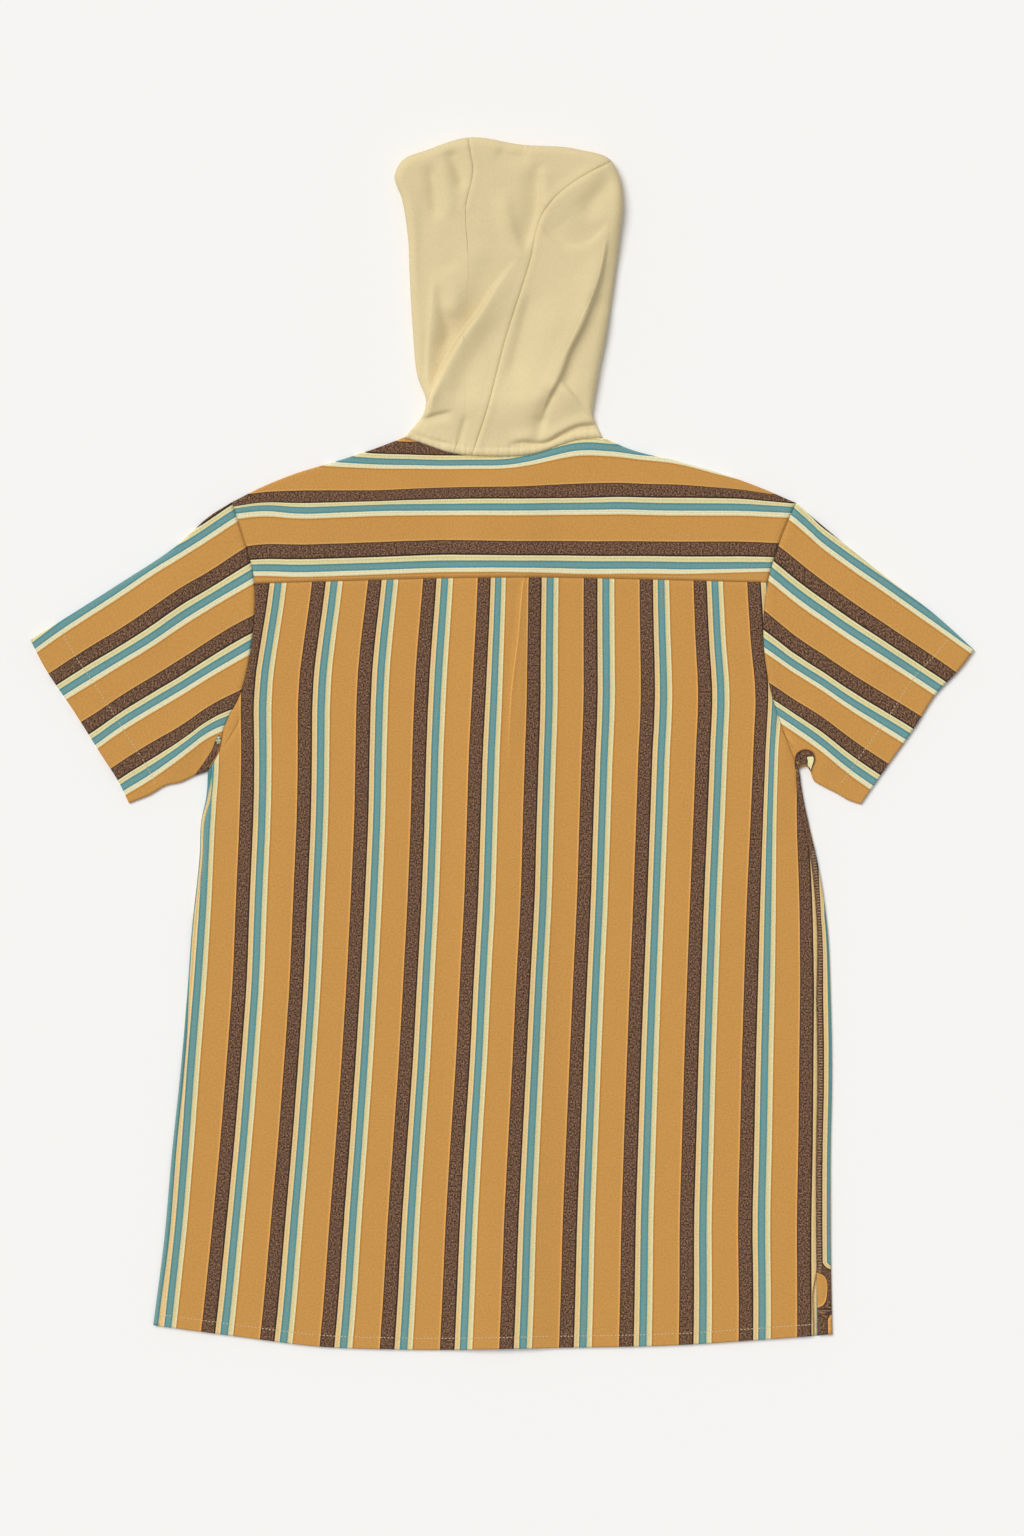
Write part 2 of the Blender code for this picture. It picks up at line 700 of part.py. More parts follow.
def make_back(material):
    left_half, right_half = HALVES["left"], HALVES["right"]
    top = yoke_seam_places()
    left = join(side_seam(left_half), upper_armhole(left_half)[0])
    right = join(side_seam(right_half, VENT_WIDTH), upper_armhole(right_half)[0])
    shares = (top[:, 0] - top[0][0]) / (top[-1][0] - top[0][0])
    bottom = hem_places(left[0][0] + (right[0][0] - left[0][0]) * shares)
    bottom[0], bottom[-1] = left[0], right[0]
    return sew("back_panel", [Patch(spread(bottom, top, left, right), UPPER)], CLOTH, material)


def yoke_top_places():
    """The yoke's upper edge inside the folded shoulders, from left to right."""
    left = shoulder_band(HALVES["left"])[0].plan[:, 0]
    right = shoulder_band(HALVES["right"])[0].plan[::-1, 0]
    neck = join(*[part[::skip] for part, skip in zip(neck_seam_places(), NECK_SKIPS)])
    neck[1:-1, 1] -= NECK_EASE
    return join(left, neck, right)


def yoke_seam_places():
    """The yoke seam, each place below one of the yoke's upper edge."""
    top = yoke_top_places()
    shares = (top[:, 0] - top[0][0]) / (top[-1][0] - top[0][0])
    places = YOKE_LINE.at(shares * YOKE_LINE.length)
    places[0] = upper_armhole(HALVES["left"])[1][0]
    places[-1] = upper_armhole(HALVES["right"])[1][0]
    return places


def make_yoke(material):
    patches = []
    for half in HALVES.values():
        upper, lower = shoulder_band(half)
        turned_over = spread(
            front_shoulder_seam(half),
            lower.plan[:, 0],
            lower_armhole(half)[1],
            neckline_places(half)[0][::-1],
        )
        patches += [upper, lower, Patch(turned_over, LOWER)]
    left, right = (upper_armhole(half)[1] for half in HALVES.values())
    patches.append(Patch(spread(yoke_seam_places(), yoke_top_places(), left, right), UPPER))
    return sew("yoke", patches, CLOTH, material)


def make_sleeve(half, material):
    """A flat tube: upper and lower cloth between the armhole and the cuff, round both folded edges."""
    top_edge = half.sleeve_top.spots(SLEEVE_ROWS)
    under_edge = half.sleeve_under.spots(SLEEVE_ROWS)
    radii = np.full(SLEEVE_ROWS + 1, EDGE_RADIUS)
    cuff_way = unit(half.cuff.at(CHORD) - half.cuff.at(0))
    cuff_end = unit(half.cuff.at(half.cuff.length - CHORD) - half.cuff.at(half.cuff.length))
    top_ways = turned(ways_in(top_edge, half.inward), half.down_armhole, cuff_way)
    under_ways = turned(ways_in(under_edge, -half.inward), half.up_armhole, cuff_end)
    top_bands = edge_band(top_edge, top_ways, top_ways, radii)
    under_bands = edge_band(under_edge, under_ways, under_ways, radii, first_ease=CORNER_EASE)
    length = half.armhole.length
    pit = half.armhole.at([length - EDGE_RADIUS, length - half.seam_inset])
    patches = top_bands + under_bands
    for side, parts in ((UPPER, (pit,) + upper_armhole(half)), (LOWER, lower_armhole(half))):
        armhole = join(*parts)[::-1]
        steps = np.hypot(*np.diff(armhole, axis=0).T)
        shares = np.concatenate([[0.0], np.cumsum(steps)]) / steps.sum()
        cuff = half.cuff.at(EDGE_RADIUS + shares * (half.cuff.length - 2 * EDGE_RADIUS))
        band = 0 if side == UPPER else 1
        top_line = top_bands[band].plan[:, 0]
        under_line = under_bands[band].plan[:, 0]
        cuff[0], cuff[-1] = top_line[-1], under_line[-1]
        patches.append(Patch(spread(armhole, cuff, top_line, under_line), side))
    return sew("sleeve_" + half.name, patches, CLOTH, material)


# The hood


class HoodEdge:
    """The hood's folded outline from the left neck point over the crown to the right one, in four stretches."""

    def __init__(self):
        marks = [0.0] + [
            HOOD_LINE.nearest(place)
            for place in (LEFT_CORNER, LEFT_HOOD_SEAM[-1], RIGHT_HOOD_SEAM[-1], RIGHT_CORNER)
        ] + [HOOD_LINE.length]
        counts = (HOOD_ROWS, LEFT_HOOD_COLUMNS, CENTER_HOOD_COLUMNS, RIGHT_HOOD_COLUMNS, HOOD_ROWS)
        self.starts = np.concatenate([[0], np.cumsum(counts)])
        crowding = (1, 1, CROWN_CROWDING, 1, 1)
        stretches = zip(counts, marks, marks[1:], crowding)
        outline = join(*[HOOD_LINE.spots(*stretch) for stretch in stretches])
        ways = ways_in(outline, -1)
        seam_top = np.array(RIGHT_HOOD_SEAM[-2]) - RIGHT_HOOD_SEAM[-1]
        ways[self.starts[3]] = unit(ways[self.starts[3]] + unit(seam_top))
        left, right = HALVES["left"], HALVES["right"]
        upper = turned(ways, neck_seam_way(left), neck_seam_way(right), blend=3)
        lower = turned(ways, neckline_way(left), neckline_way(right), blend=3)
        rise = smooth_step((outline[:, 1] - outline[0][1]) / HOOD_RISE_LENGTH)
        radii = EDGE_RADIUS + (HOOD_EDGE_RADIUS - EDGE_RADIUS) * rise
        self.upper, self.lower = edge_band(outline, upper, lower, radii)

    def bands(self, first, last):
        """The patches round the edge, from the start of one stretch to the start of another."""
        rows = slice(self.starts[first], self.starts[last] + 1)
        return [Patch(band.plan[rows], band.side) for band in (self.upper, self.lower)]

    def inner(self, stretch, side):
        band = self.upper if side == UPPER else self.lower
        return band.plan[self.starts[stretch] : self.starts[stretch + 1] + 1, 0]


def seam_to(places, end, count):
    """A seam line of so many steps that ends exactly at a given place."""
    line = Line(list(places[:-1]) + [tuple(end)])
    spots = line.spots(count)
    spots[-1] = end
    return spots


def make_hood(material):
    edge = HoodEdge()
    neck_left, neck_center, neck_right = neck_seam_places()
    crown_left, crown_center, crown_right = (edge.inner(i, UPPER) for i in (1, 2, 3))
    left_seam = seam_to(LEFT_HOOD_SEAM, crown_left[-1], HOOD_ROWS)
    right_seam = seam_to(RIGHT_HOOD_SEAM, crown_center[-1], HOOD_ROWS)
    left_seam[0], right_seam[0] = neck_left[-1], neck_center[-1]
    low_left, low_center, low_right = (edge.inner(i, LOWER) for i in (1, 2, 3))
    left_turn = np.linspace(LEFT_FACE_EDGE[-1], low_left[-1], FLAP_ROWS + 1)
    right_turn = np.linspace(RIGHT_FACE_EDGE[-1], low_center[-1], FLAP_ROWS + 1)
    face_rows = HOOD_ROWS - FLAP_ROWS
    left_face = join(Line(LEFT_FACE_EDGE).spots(face_rows), left_turn)
    right_face = join(Line(RIGHT_FACE_EDGE).spots(face_rows), right_turn)

    neckline = join(*neckline_places(HALVES["left"]))
    left_face[0] = neckline[-1]
    patches = edge.bands(0, 2)
    patches.append(Patch(spread(neck_left, crown_left, edge.inner(0, UPPER), left_seam), UPPER))
    patches.append(Patch(spread(neckline, low_left, edge.inner(0, LOWER), left_face), LOWER))
    sew("hood_side_left", patches, HOOD_CLOTH, material, lambda plan: band_lift(plan, -1, OUTER_LIFT))

    patches = edge.bands(2, 3)
    patches.append(Patch(spread(neck_center, crown_center, left_seam, right_seam), UPPER))
    forehead = np.linspace(left_turn[0], right_turn[0], CENTER_HOOD_COLUMNS + 1)
    patches.append(Patch(spread(forehead, low_center, left_turn, right_turn), LOWER))
    sew("hood_center", patches, HOOD_CLOTH, material)

    neckline = join(*neckline_places(HALVES["right"]))[::-1]
    right_face[0] = neckline[0]
    patches = edge.bands(3, 5)
    right_edge = edge.inner(4, UPPER)[::-1]
    patches.append(Patch(spread(neck_right, crown_right, right_seam, right_edge), UPPER))
    right_edge = edge.inner(4, LOWER)[::-1]
    patches.append(Patch(spread(neckline, low_right, right_face, right_edge), LOWER))
    sew("hood_side_right", patches, HOOD_CLOTH, material, lambda plan: band_lift(plan, 1, INNER_LIFT))


def make_hood_core(material, rows=12, columns=9, first_y=292.0):
    """The hood's hidden layers: one rounded solid with a flat bottom, its rim shaped as stacked layers."""
    ys = [row.y for row in HOOD_SIDES]
    crown_xs, crown_ys = zip(*CROWN)
    share = np.linspace(0, 1, columns + 1)
    plan = []
    for v in np.linspace(0, 1, rows + 1):
        side_y = first_y + v * (HOOD_SIDES[-1].y - first_y)
        left = np.interp(side_y, ys, [row.left for row in HOOD_SIDES]) + CORE_INSET
        right = np.interp(side_y, ys, [row.right for row in HOOD_SIDES]) - CORE_INSET
        xs = left + (right - left) * share
        tops = np.interp(xs, crown_xs, crown_ys) - CORE_INSET
        corner = CORE_CORNER * smooth_step(abs(2 * share - 1) ** 3) * (2 * v - 1)
        plan.append(np.stack([xs, first_y + v * (tops - first_y) - corner], axis=-1))
    plan = np.array(plan)
    level = upper_height(plan, with_hood_folds=False) - CORE_DROP
    bm = bmesh.new()
    top = [
        [bm.verts.new((x * MM, y * MM, z * MM)) for (x, y), z in zip(places, levels)]
        for places, levels in zip(plan, level)
    ]
    for near, far in zip(top, top[1:]):
        for a, b, c, d in zip(near, near[1:], far[1:], far):
            bm.faces.new((a, b, c, d))
    rim = top[0][:-1] + [row[-1] for row in top[:-1]] + top[-1][:0:-1] + [row[0] for row in top[:0:-1]]
    middle = sum((vert.co for vert in rim), Vector()) / len(rim)
    steps = 2 * CORE_LAYERS
    above = rim
    for step in range(1, steps + 1):
        out = CORE_BULGE * (step % 2) * MM
        below = []
        for vert in rim:
            away = (vert.co - middle).to_2d().normalized() * out
            drop = (vert.co.z - CORE_FLOOR * MM) * step / steps
            below.append(bm.verts.new(vert.co + Vector((away.x, away.y, -drop))))
        for i, corner in enumerate(above):
            bm.faces.new((corner, above[i - 1], below[i - 1], below[i]))
        above = below
    bm.faces.new(above)
    bmesh.ops.recalc_face_normals(bm, faces=bm.faces)
    mesh = bpy.data.meshes.new("hood_under_layers")
    bm.to_mesh(mesh)
    bm.free()
    core = bpy.data.objects.new("hood_under_layers", mesh)
    bpy.context.scene.collection.objects.link(core)
    mesh.materials.append(material)


def make_buttons(material):
    for index in range(BUTTON_COUNT):
        mesh = bpy.data.meshes.new(f"button_{index + 1}")
        bm = bmesh.new()
        bmesh.ops.create_cone(
            bm,
            cap_ends=True,
            segments=16,
            radius1=BUTTON_DIAMETER / 2 * MM,
            radius2=BUTTON_DIAMETER / 2 * MM,
            depth=BUTTON_THICKNESS * MM,
            matrix=Matrix.Translation((0, 0, BUTTON_THICKNESS / 2 * MM)),
        )
        rims = [edge for edge in bm.edges if abs(edge.verts[0].co.z - edge.verts[1].co.z) < 1e-6]
        bmesh.ops.bevel(bm, geom=rims, offset=0.5 * MM, segments=1, affect="EDGES", profile=0.5)
        bm.to_mesh(mesh)
        bm.free()
        button = bpy.data.objects.new(mesh.name, mesh)
        button.location = (CENTER_X * MM, (FIRST_BUTTON_Y - index * BUTTON_SPACING) * MM, 0)
        bpy.context.scene.collection.objects.link(button)
        mesh.materials.append(material)


def main():
    for thing in list(bpy.data.objects):
        bpy.data.objects.remove(thing)
    striped = finish_material("striped_cloth", OCHRE)
    plain = finish_material("hood_cloth", BEIGE)
    make_back(striped)
    make_yoke(striped)
    for half in HALVES.values():
        make_sleeve(half, striped)
    make_front(HALVES["left"], OUTER_LIFT, striped)
    make_front(HALVES["right"], INNER_LIFT, striped)
    make_hood(plain)
    make_hood_core(plain)
    make_buttons(finish_material("button", HORN))


main()
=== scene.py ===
"""Looks of a short-sleeved striped shirt with a hood, laid out flat with its back up.

Every sewn piece is a shell of cloth between its seams. Its places on the table come from short tables, its
heights from one relief for the whole garment, and its stripes from a pattern that is laid over the pieces.

Lengths in the tables are millimetres. +X is to the right, +Y to the hood, +Z up from the table.
"""

import json
import logging
import math
from dataclasses import dataclass, field
from enum import Enum
from typing import Callable, NamedTuple, Sequence

import bmesh
import bpy
import numpy as np
from mathutils import Matrix, Vector, noise

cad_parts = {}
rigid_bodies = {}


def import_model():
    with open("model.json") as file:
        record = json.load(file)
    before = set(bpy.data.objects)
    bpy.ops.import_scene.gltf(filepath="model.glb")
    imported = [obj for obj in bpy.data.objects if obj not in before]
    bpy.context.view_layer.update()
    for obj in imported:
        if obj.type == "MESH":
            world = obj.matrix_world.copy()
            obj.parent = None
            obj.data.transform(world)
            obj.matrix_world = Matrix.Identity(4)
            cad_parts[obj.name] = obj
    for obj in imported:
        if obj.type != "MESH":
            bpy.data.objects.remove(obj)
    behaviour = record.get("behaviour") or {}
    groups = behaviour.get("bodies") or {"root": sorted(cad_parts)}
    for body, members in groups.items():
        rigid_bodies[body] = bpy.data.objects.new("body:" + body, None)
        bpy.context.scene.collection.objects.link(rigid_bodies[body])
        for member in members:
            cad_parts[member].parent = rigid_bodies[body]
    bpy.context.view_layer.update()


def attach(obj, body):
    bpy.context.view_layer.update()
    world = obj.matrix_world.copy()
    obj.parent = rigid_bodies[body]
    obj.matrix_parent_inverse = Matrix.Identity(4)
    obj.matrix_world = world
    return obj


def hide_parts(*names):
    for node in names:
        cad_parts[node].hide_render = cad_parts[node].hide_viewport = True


LOG = logging.getLogger("hooded_shirt")
MM = 0.001
MERGE_REACH = 0.02  # places nearer than this are one
FINE_MERGE_REACH = 0.01
UV_NAME = "cloth"  # each piece's layer for its pattern
CREASE_NAME = "crease"  # and for the distance to the nearest sharp crease, and the strength of the highlight and shade painted along it

# Sharp creases, painted into the cloth's colour as a highlight line with shade beside it
CREASE_REACH = 12.0
CREASE_START = 0.06  # parts of a crease's length over which it fades in and out
CREASE_END = 0.5
# widths in millimetres and tones of the painted highlight line and of the painted shade beside it
CREASE_HIGHLIGHT_WIDTH = 0.8
CREASE_HIGHLIGHT_TONE = 0.5
CREASE_SHADE_WIDTH = 7.0
CREASE_SHADE_TONE = 0.16

# The right armpit's opening
ARMPIT_LIFT_TOP = -6.0  # where the lift of its edge ends
ARMPIT_LIFT_REACH = 21.0

# Cloth
CLOTH = 1.2
HOOD_CLOTH = 1.6
SEAM_GAP = 0.3
NECK_EASE = 0.3
CORNER_EASE = 2.4
SHOULDER_EASE = 0.4
CHORD = 6.0
UPPER_LAYER = 3.2
EDGE_RADIUS = 1.4
HOOD_EDGE_RADIUS = 6.5
HOOD_LOFT = 11.0
HOOD_RISE_LENGTH = 50.0
EDGE_STEPS = (1.0, 0.6, 0.3, 0.1, 0.0)  # places across a folded edge, as parts of its radius
EASE_SHARES = (0.16, 0.7, 1.0, 1.12, 1.16)

# The photo's view, and seams' details
VIEW_CENTER = (8.5, -21.2)
VIEW_HEIGHT = 1336.0  # of what the picture shows
VIEW_LENS = 85.0
VIEW_SENSOR = 36.0
VIEW_DISTANCE = VIEW_HEIGHT * VIEW_LENS / VIEW_SENSOR
HEM_STITCH = 10.0
YOKE_STITCH = 3.2
SIDE_STITCHES_END = 75.0  # how far below the armpit the side seams' stitches end
CUFF_STEPS = 12
LEFT_CUFF_HEM = 28.0
RIGHT_CUFF_HEM = 24.0
HOOD_BASE_STITCH = 7.5

# Vent and front opening
VENT_TOP_Y = -458.0
VENT_WIDTH = 4.0
VENT_FADE = 20.0
CENTER_X = 1.0
BAND_HALF_WIDTH = 15.0
BAND_SLOPE = 24.0
BAND_SWELL = 3.2
BAND_TOP_Y = 248.0
BAND_TOP_FADE = 35.0
NECKLINE_FADE = 25.0
NECKLINE_Y = 185.0
FACE_EDGE_GAP = 6.0
YOKE_TURN = 25.0
BUTTON_DIAMETER = 11.5
BUTTON_THICKNESS = 2.0
BUTTON_COUNT = 6
FIRST_BUTTON_Y = 166.0
BUTTON_SPACING = 100.0
OUTER_LIFT = BUTTON_THICKNESS + SEAM_GAP
INNER_LIFT = OUTER_LIFT + CLOTH + SEAM_GAP

# Hidden layers in the hood
CORE_INSET = 13.0
CORE_FLOOR = HOOD_CLOTH + SEAM_GAP
CORE_DROP = 6.0
CORE_LAYERS = 3
HOOD_GAP = 0.06
HIDDEN_SEAM_X = -34.0
HIDDEN_SEAM_REACH = 7.0
HIDDEN_SEAM_BOTTOM = 262.0
HIDDEN_SEAM_TOP = 424.0
CORE_BULGE = 2.0
CORE_CORNER = 14.0

# How finely each stretch is divided
SIDE_ROWS = 118
BACK_ARMHOLE_ROWS = 48
YOKE_ROWS = 34
FRONT_ARMHOLE_ROWS = 60
TURN_ROWS = 8
SLEEVE_ROWS = 72
SHOULDER_COLUMNS = 54
HOOD_ROWS = 176
LEFT_HOOD_COLUMNS = 48
CENTER_HOOD_COLUMNS = 72
RIGHT_HOOD_COLUMNS = 84
CROWN_CROWDING = 1.6
FLAP_ROWS = 14
BAND_COLUMNS = 8
SEAM_SWING_ROWS = 13  # over how many rows an edge's directions swing towards a seam
SEAM_BLEND_ROWS = 6
HOOD_BLEND_ROWS = 24
LAYER_STEPS = 4  # for each of the hidden layers' rims
STRIP_SHARES = (0, 0.12, 0.3, 0.5, 0.7, 0.88)  # columns from a side seam to the folded edge


class SideRow(NamedTuple):
    """One level of a pair of edges."""

    left_x: float
    left_y: float
    right_x: float
    right_y: float


class SleeveRow(NamedTuple):
    """A place on a sleeve's top edge, its under edge and its cuff."""

    top_x: float
    top_y: float
    under_x: float
    under_y: float
    cuff_x: float
    cuff_y: float


class Place(NamedTuple):
    """A place on the table."""

    x: float
    y: float


class HoodRow(NamedTuple):
    """The hood's two folded sides at one level."""

    y: float
    left: float
    right: float


class SeamRow(NamedTuple):
    """How far in from the folded edges the side seams lie, at one level."""

    y: float
    left: float
    right: float


class Crease(NamedTuple):
    """A sharp crease along a line, painted into the cloth's colour: a painted highlight with painted shade on
    its left, or where its strength is negative a painted dark line with painted light on its left.
    """

    strength: float
    places: tuple[Place, ...]


class Fold(NamedTuple):
    """A ridge along a line, or a trough where its height is negative, with its own width on each side."""

    height: float
    left_width: float
    right_width: float
    places: tuple[Place, ...]


SIDES = (  # folded side edges, from hem to armpit
    SideRow(-303, -506, 286.5, -514),
    SideRow(-293.5, -432, 285, -432),
    SideRow(-286.5, -354, 285, -354),
    SideRow(-280, -293, 286, -293),
    SideRow(-273.5, -219, 285, -219),
    SideRow(-269, -158, 282, -158),
    SideRow(-262.6, -97, 272.4, -97),
    SideRow(-261, -66, 266.5, -72),
    SideRow(-257, -48, 260.8, -45),
    SideRow(-255.4, -23, 257.5, -22),
)
SIDE_SEAMS = (  # how far in from the folded edges the side seams lie, on the upper side
    SeamRow(-530, 6, 12),
    SeamRow(-480, 4.6, 12),
    SeamRow(-389, 3.5, 12),
    SeamRow(-319, 2.8, 12),
    SeamRow(-223, 2.3, 12),
    SeamRow(-150, 2.3, 8),
    SeamRow(-92, 2.3, 4.4),
    SeamRow(-60, 2.5, 3.6),
    SeamRow(-23, 5, 5),
)
ARMHOLES = (  # from shoulder to armpit
    SideRow(-235, 209.5, 255.3, 208.8),
    SideRow(-227.5, 187, 245, 185),
    SideRow(-215.3, 139.2, 231, 140.1),
    SideRow(-217, 95, 227, 95),
    SideRow(-227, 45, 233, 48),
    SideRow(-242, 13.2, 245, 10),
    SideRow(-246, -7, 251, -6),
    SideRow(-255.4, -23, 257.5, -22),
)
SHOULDERS = (  # folded shoulder edges, from sleeve to neck
    SideRow(-235, 209.5, 255.3, 208.8),
    SideRow(-206.6, 223.6, 220.5, 223.6),
    SideRow(-180.5, 234, 191, 234),
    SideRow(-145.7, 244.5, 154.4, 244.5),
    SideRow(-113.5, 255, 111, 255.5),
    SideRow(-84, 266.2, 86, 266.2),
)
LEFT_SLEEVE = (  # top and under edges from shoulder to cuff, and the cuff from its top corner down
    SleeveRow(-235, 209.5, -255.4, -23, -410.2, 89.6),
    SleeveRow(-254, 197.5, -267, -27, -399, 68),
    SleeveRow(-280, 174, -280, -33, -373, 28.7),
    SleeveRow(-332, 139, -293, -36, -348.4, -10.4),
    SleeveRow(-384, 106, -306, -43.5, -332, -36.5),
    SleeveRow(-410.2, 89.6, -325, -51.3, -325, -51.3),
)
RIGHT_SLEEVE = (
    SleeveRow(255.3, 208.8, 257.5, -22, 410.2, 81),
    SleeveRow(270, 196, 270, -31.3, 400.6, 68),
    SleeveRow(291, 178.4, 280.6, -37.4, 376.3, 41.8),
    SleeveRow(333, 144.4, 291, -42.6, 359.7, 15.7),
    SleeveRow(374.5, 113, 301.5, -48.7, 331.9, -23.5),
    SleeveRow(410.2, 81, 311.9, -52.2, 311.9, -52.2),
)
HEM = (
    Place(-303, -506),
    Place(-228, -516),
    Place(-158, -524.5),
    Place(-88, -527),
    Place(51, -525.5),
    Place(155, -523),
    Place(225, -518.5),
    Place(286.5, -514),
)
YOKE_SEAM = (Place(-215.3, 139.2), Place(9, 144.4), Place(231, 140.1))
NECK_SEAM = (
    Place(-84, 266.2),
    Place(-67, 260.4),
    Place(-47.4, 253.6),
    Place(-8.6, 250),
    Place(30, 252.6),
    Place(49.7, 259.4),
    Place(65, 264.3),
    Place(86, 266.2),
)
FRONT_NECKLINE = (
    Place(-84, 266.2),
    Place(-77, 236),
    Place(-60, 208),
    Place(-34, 191),
    Place(1, 185),
    Place(36, 191),
    Place(62, 208),
    Place(79, 236),
    Place(86, 266.2),
)
HOOD_SIDES = (  # folded side edges of the hood, from neck to crown
    HoodRow(266.2, -84, 86),
    HoodRow(276, -75.3, 81.5),
    HoodRow(287, -67.5, 77.5),
    HoodRow(297, -65.5, 78.5),
    HoodRow(318, -72.5, 82),
    HoodRow(359, -77, 90),
    HoodRow(401, -79.5, 96),
    HoodRow(443, -81.5, 101.5),
    HoodRow(474, -86.5, 104),
    HoodRow(495, -92.7, 100.5),
)
CROWN = (  # folded top edge of the hood, between the side edges' last rows
    Place(-87.4, 505.5),
    Place(-64, 516),
    Place(-30, 526.4),
    Place(16, 520.3),
    Place(66.6, 516),
    Place(94.4, 506.3),
)
LEFT_HOOD_SEAM = (  # from the neck seam to the crown
    Place(-42.5, 252.8),
    Place(-36, 271),
    Place(-33.5, 346),
    Place(-29.5, 422),
    Place(-31.5, 467),
    Place(-25.5, 501),
    Place(-30, 526.4),
)
RIGHT_HOOD_SEAM = (
    Place(-26, 251.2),
    Place(-14.8, 284.5),
    Place(3, 352),
    Place(24, 418.5),
    Place(36, 462),
    Place(47, 476),
    Place(68, 492),
    Place(94.4, 506.3),
)
LEFT_FACE_EDGE = (  # lower side: from the front neckline up to the middle panel's turned-under end
    Place(-2, 185),
    Place(-2, 280),
    Place(-2, 360),
    Place(-4, 400),
    Place(-13, 442),
    Place(-29, 478),
)
RIGHT_FACE_EDGE = (
    Place(4, 185),
    Place(4, 270),
    Place(4, 345),
    Place(7, 385),
    Place(22, 418),
    Place(50, 444),
    Place(88, 466),
)
LEFT_CORNER = Place(-92.7, 495)
RIGHT_CORNER = Place(101.5, 443)

# A fold is a ridge (or, with a negative height, a trough) along a line. Its two sides, seen along the line
# from its first place to its last, have their own widths.
HOOD_FOLDS = (
    Fold(
        3.4,
        24,
        3.2,
        (Place(19, 427), Place(-4, 396), Place(-18, 374), Place(-36, 349), Place(-49, 325),
         Place(-59, 305), Place(-69, 278)),
    ),
    Fold(
        1.8,
        7,
        1.8,
        (Place(7, 412), Place(-4, 397), Place(-18, 375), Place(-36, 349), Place(-49, 326),
         Place(-59, 306), Place(-71, 274)),
    ),
    Fold(
        -4.6,
        2.2,
        19,
        (Place(-9, 399), Place(-21, 378), Place(-39, 352), Place(-52, 330), Place(-61, 310),
         Place(-74, 278)),
    ),
    Fold(3, 8, 2.4, (Place(-59, 413), Place(-61, 377), Place(-64, 338), Place(-65, 311), Place(-67, 277))),
    Fold(-2.4, 7, 6, (Place(-57, 403), Place(-52, 378), Place(-47, 355), Place(-54, 337))),
    Fold(2.2, 13, 13, (Place(-20, 442), Place(-29, 412), Place(-40, 375), Place(-45, 355))),
    Fold(-1.8, 12, 8, (Place(-64, 499), Place(-70, 429), Place(-73, 359), Place(-71, 325))),
    Fold(-3, 6, 6, (Place(-64, 507), Place(-60, 485), Place(-56, 453))),
    Fold(1.6, 7, 7, (Place(-54, 512), Place(-48, 485), Place(-46, 453))),
    Fold(-3, 6, 6, (Place(-48, 519), Place(-40, 503), Place(-33, 479))),
    Fold(-2.2, 6, 9, (Place(-6, 519), Place(9, 511), Place(25, 513))),
    Fold(-3.8, 5, 11, (Place(30, 509), Place(30, 481), Place(28, 462), Place(22, 442), Place(14, 424))),
    Fold(1.6, 8, 4, (Place(34, 503), Place(36, 481), Place(40, 462))),
    Fold(2.2, 6, 9, (Place(-1, 485), Place(5, 455), Place(13, 432), Place(25, 413))),
    Fold(
        -2.6,
        15,
        3.5,
        (Place(33, 457), Place(41, 444), Place(54, 435), Place(70, 436), Place(83, 445), Place(91, 459)),
    ),
    Fold(-2.4, 9, 9, (Place(70, 452), Place(80, 472), Place(91, 486), Place(101, 497))),
    Fold(2.4, 9, 11, (Place(38, 453), Place(51, 471), Place(74, 488), Place(91, 497))),
    Fold(
        3.6,
        8,
        28,
        (Place(91, 460), Place(89, 431), Place(85, 412), Place(78, 390), Place(69, 365), Place(57, 342),
         Place(49, 321), Place(40, 304), Place(28, 271)),
    ),
    Fold(
        2.9,
        2.1,
        10,
        (Place(91, 450), Place(89, 431), Place(85, 412), Place(78, 390), Place(69, 365), Place(57, 342),
         Place(49, 321), Place(40, 304), Place(27, 269)),
    ),
    Fold(
        -2.4,
        9,
        2.6,
        (Place(96, 450), Place(92, 429), Place(88, 409), Place(82, 388), Place(72, 363), Place(61, 340),
         Place(53, 319), Place(43, 301), Place(33, 278)),
    ),
    Fold(-4.5, 5, 21, (Place(105, 464), Place(100, 385), Place(91, 316), Place(84, 268))),
    Fold(3.4, 2.4, 11, (Place(45, 318), Place(53, 310), Place(63, 298), Place(73, 285), Place(83, 271))),
    Fold(-3, 5, 7, (Place(47, 312), Place(40, 298), Place(35, 283), Place(32, 269))),
    Fold(-1.4, 7, 9, (Place(73, 385), Place(84, 383), Place(98, 378))),
    Fold(-2.2, 12, 9, (Place(4, 375), Place(-15, 347), Place(-33, 319), Place(-43, 285))),
    Fold(-1.8, 9, 5, (Place(26, 396), Place(20, 370), Place(13, 342), Place(6, 311))),
    Fold(2, 15, 13, (Place(56, 394), Place(40, 351), Place(27, 312), Place(16, 277))),
    Fold(2, 9, 12, (Place(-50, 418), Place(-43, 394), Place(-45, 368))),
)
NECK_FOLDS = (
    Fold(
        -2.2,
        1.4,
        5,
        (Place(-1, 258), Place(16, 262), Place(38, 262), Place(50, 269), Place(65, 276), Place(79, 277),
         Place(96, 274)),
    ),
    Fold(
        1.8,
        6,
        2,
        (Place(-1, 262), Place(16, 266), Place(38, 266), Place(50, 272), Place(65, 279), Place(79, 281),
         Place(96, 278)),
    ),
    Fold(-2.4, 1.8, 6, (Place(-85, 276), Place(-67, 283), Place(-54, 287), Place(-40, 289))),
    Fold(-1.5, 1.6, 5, (Place(-83, 272), Place(-74, 268), Place(-62, 264), Place(-43, 260))),
    Fold(-1.4, 3, 4, (Place(-40, 255), Place(-36, 269), Place(-31, 288))),
    Fold(-1.6, 6, 5, (Place(28, 258), Place(32, 272), Place(34, 288))),
)
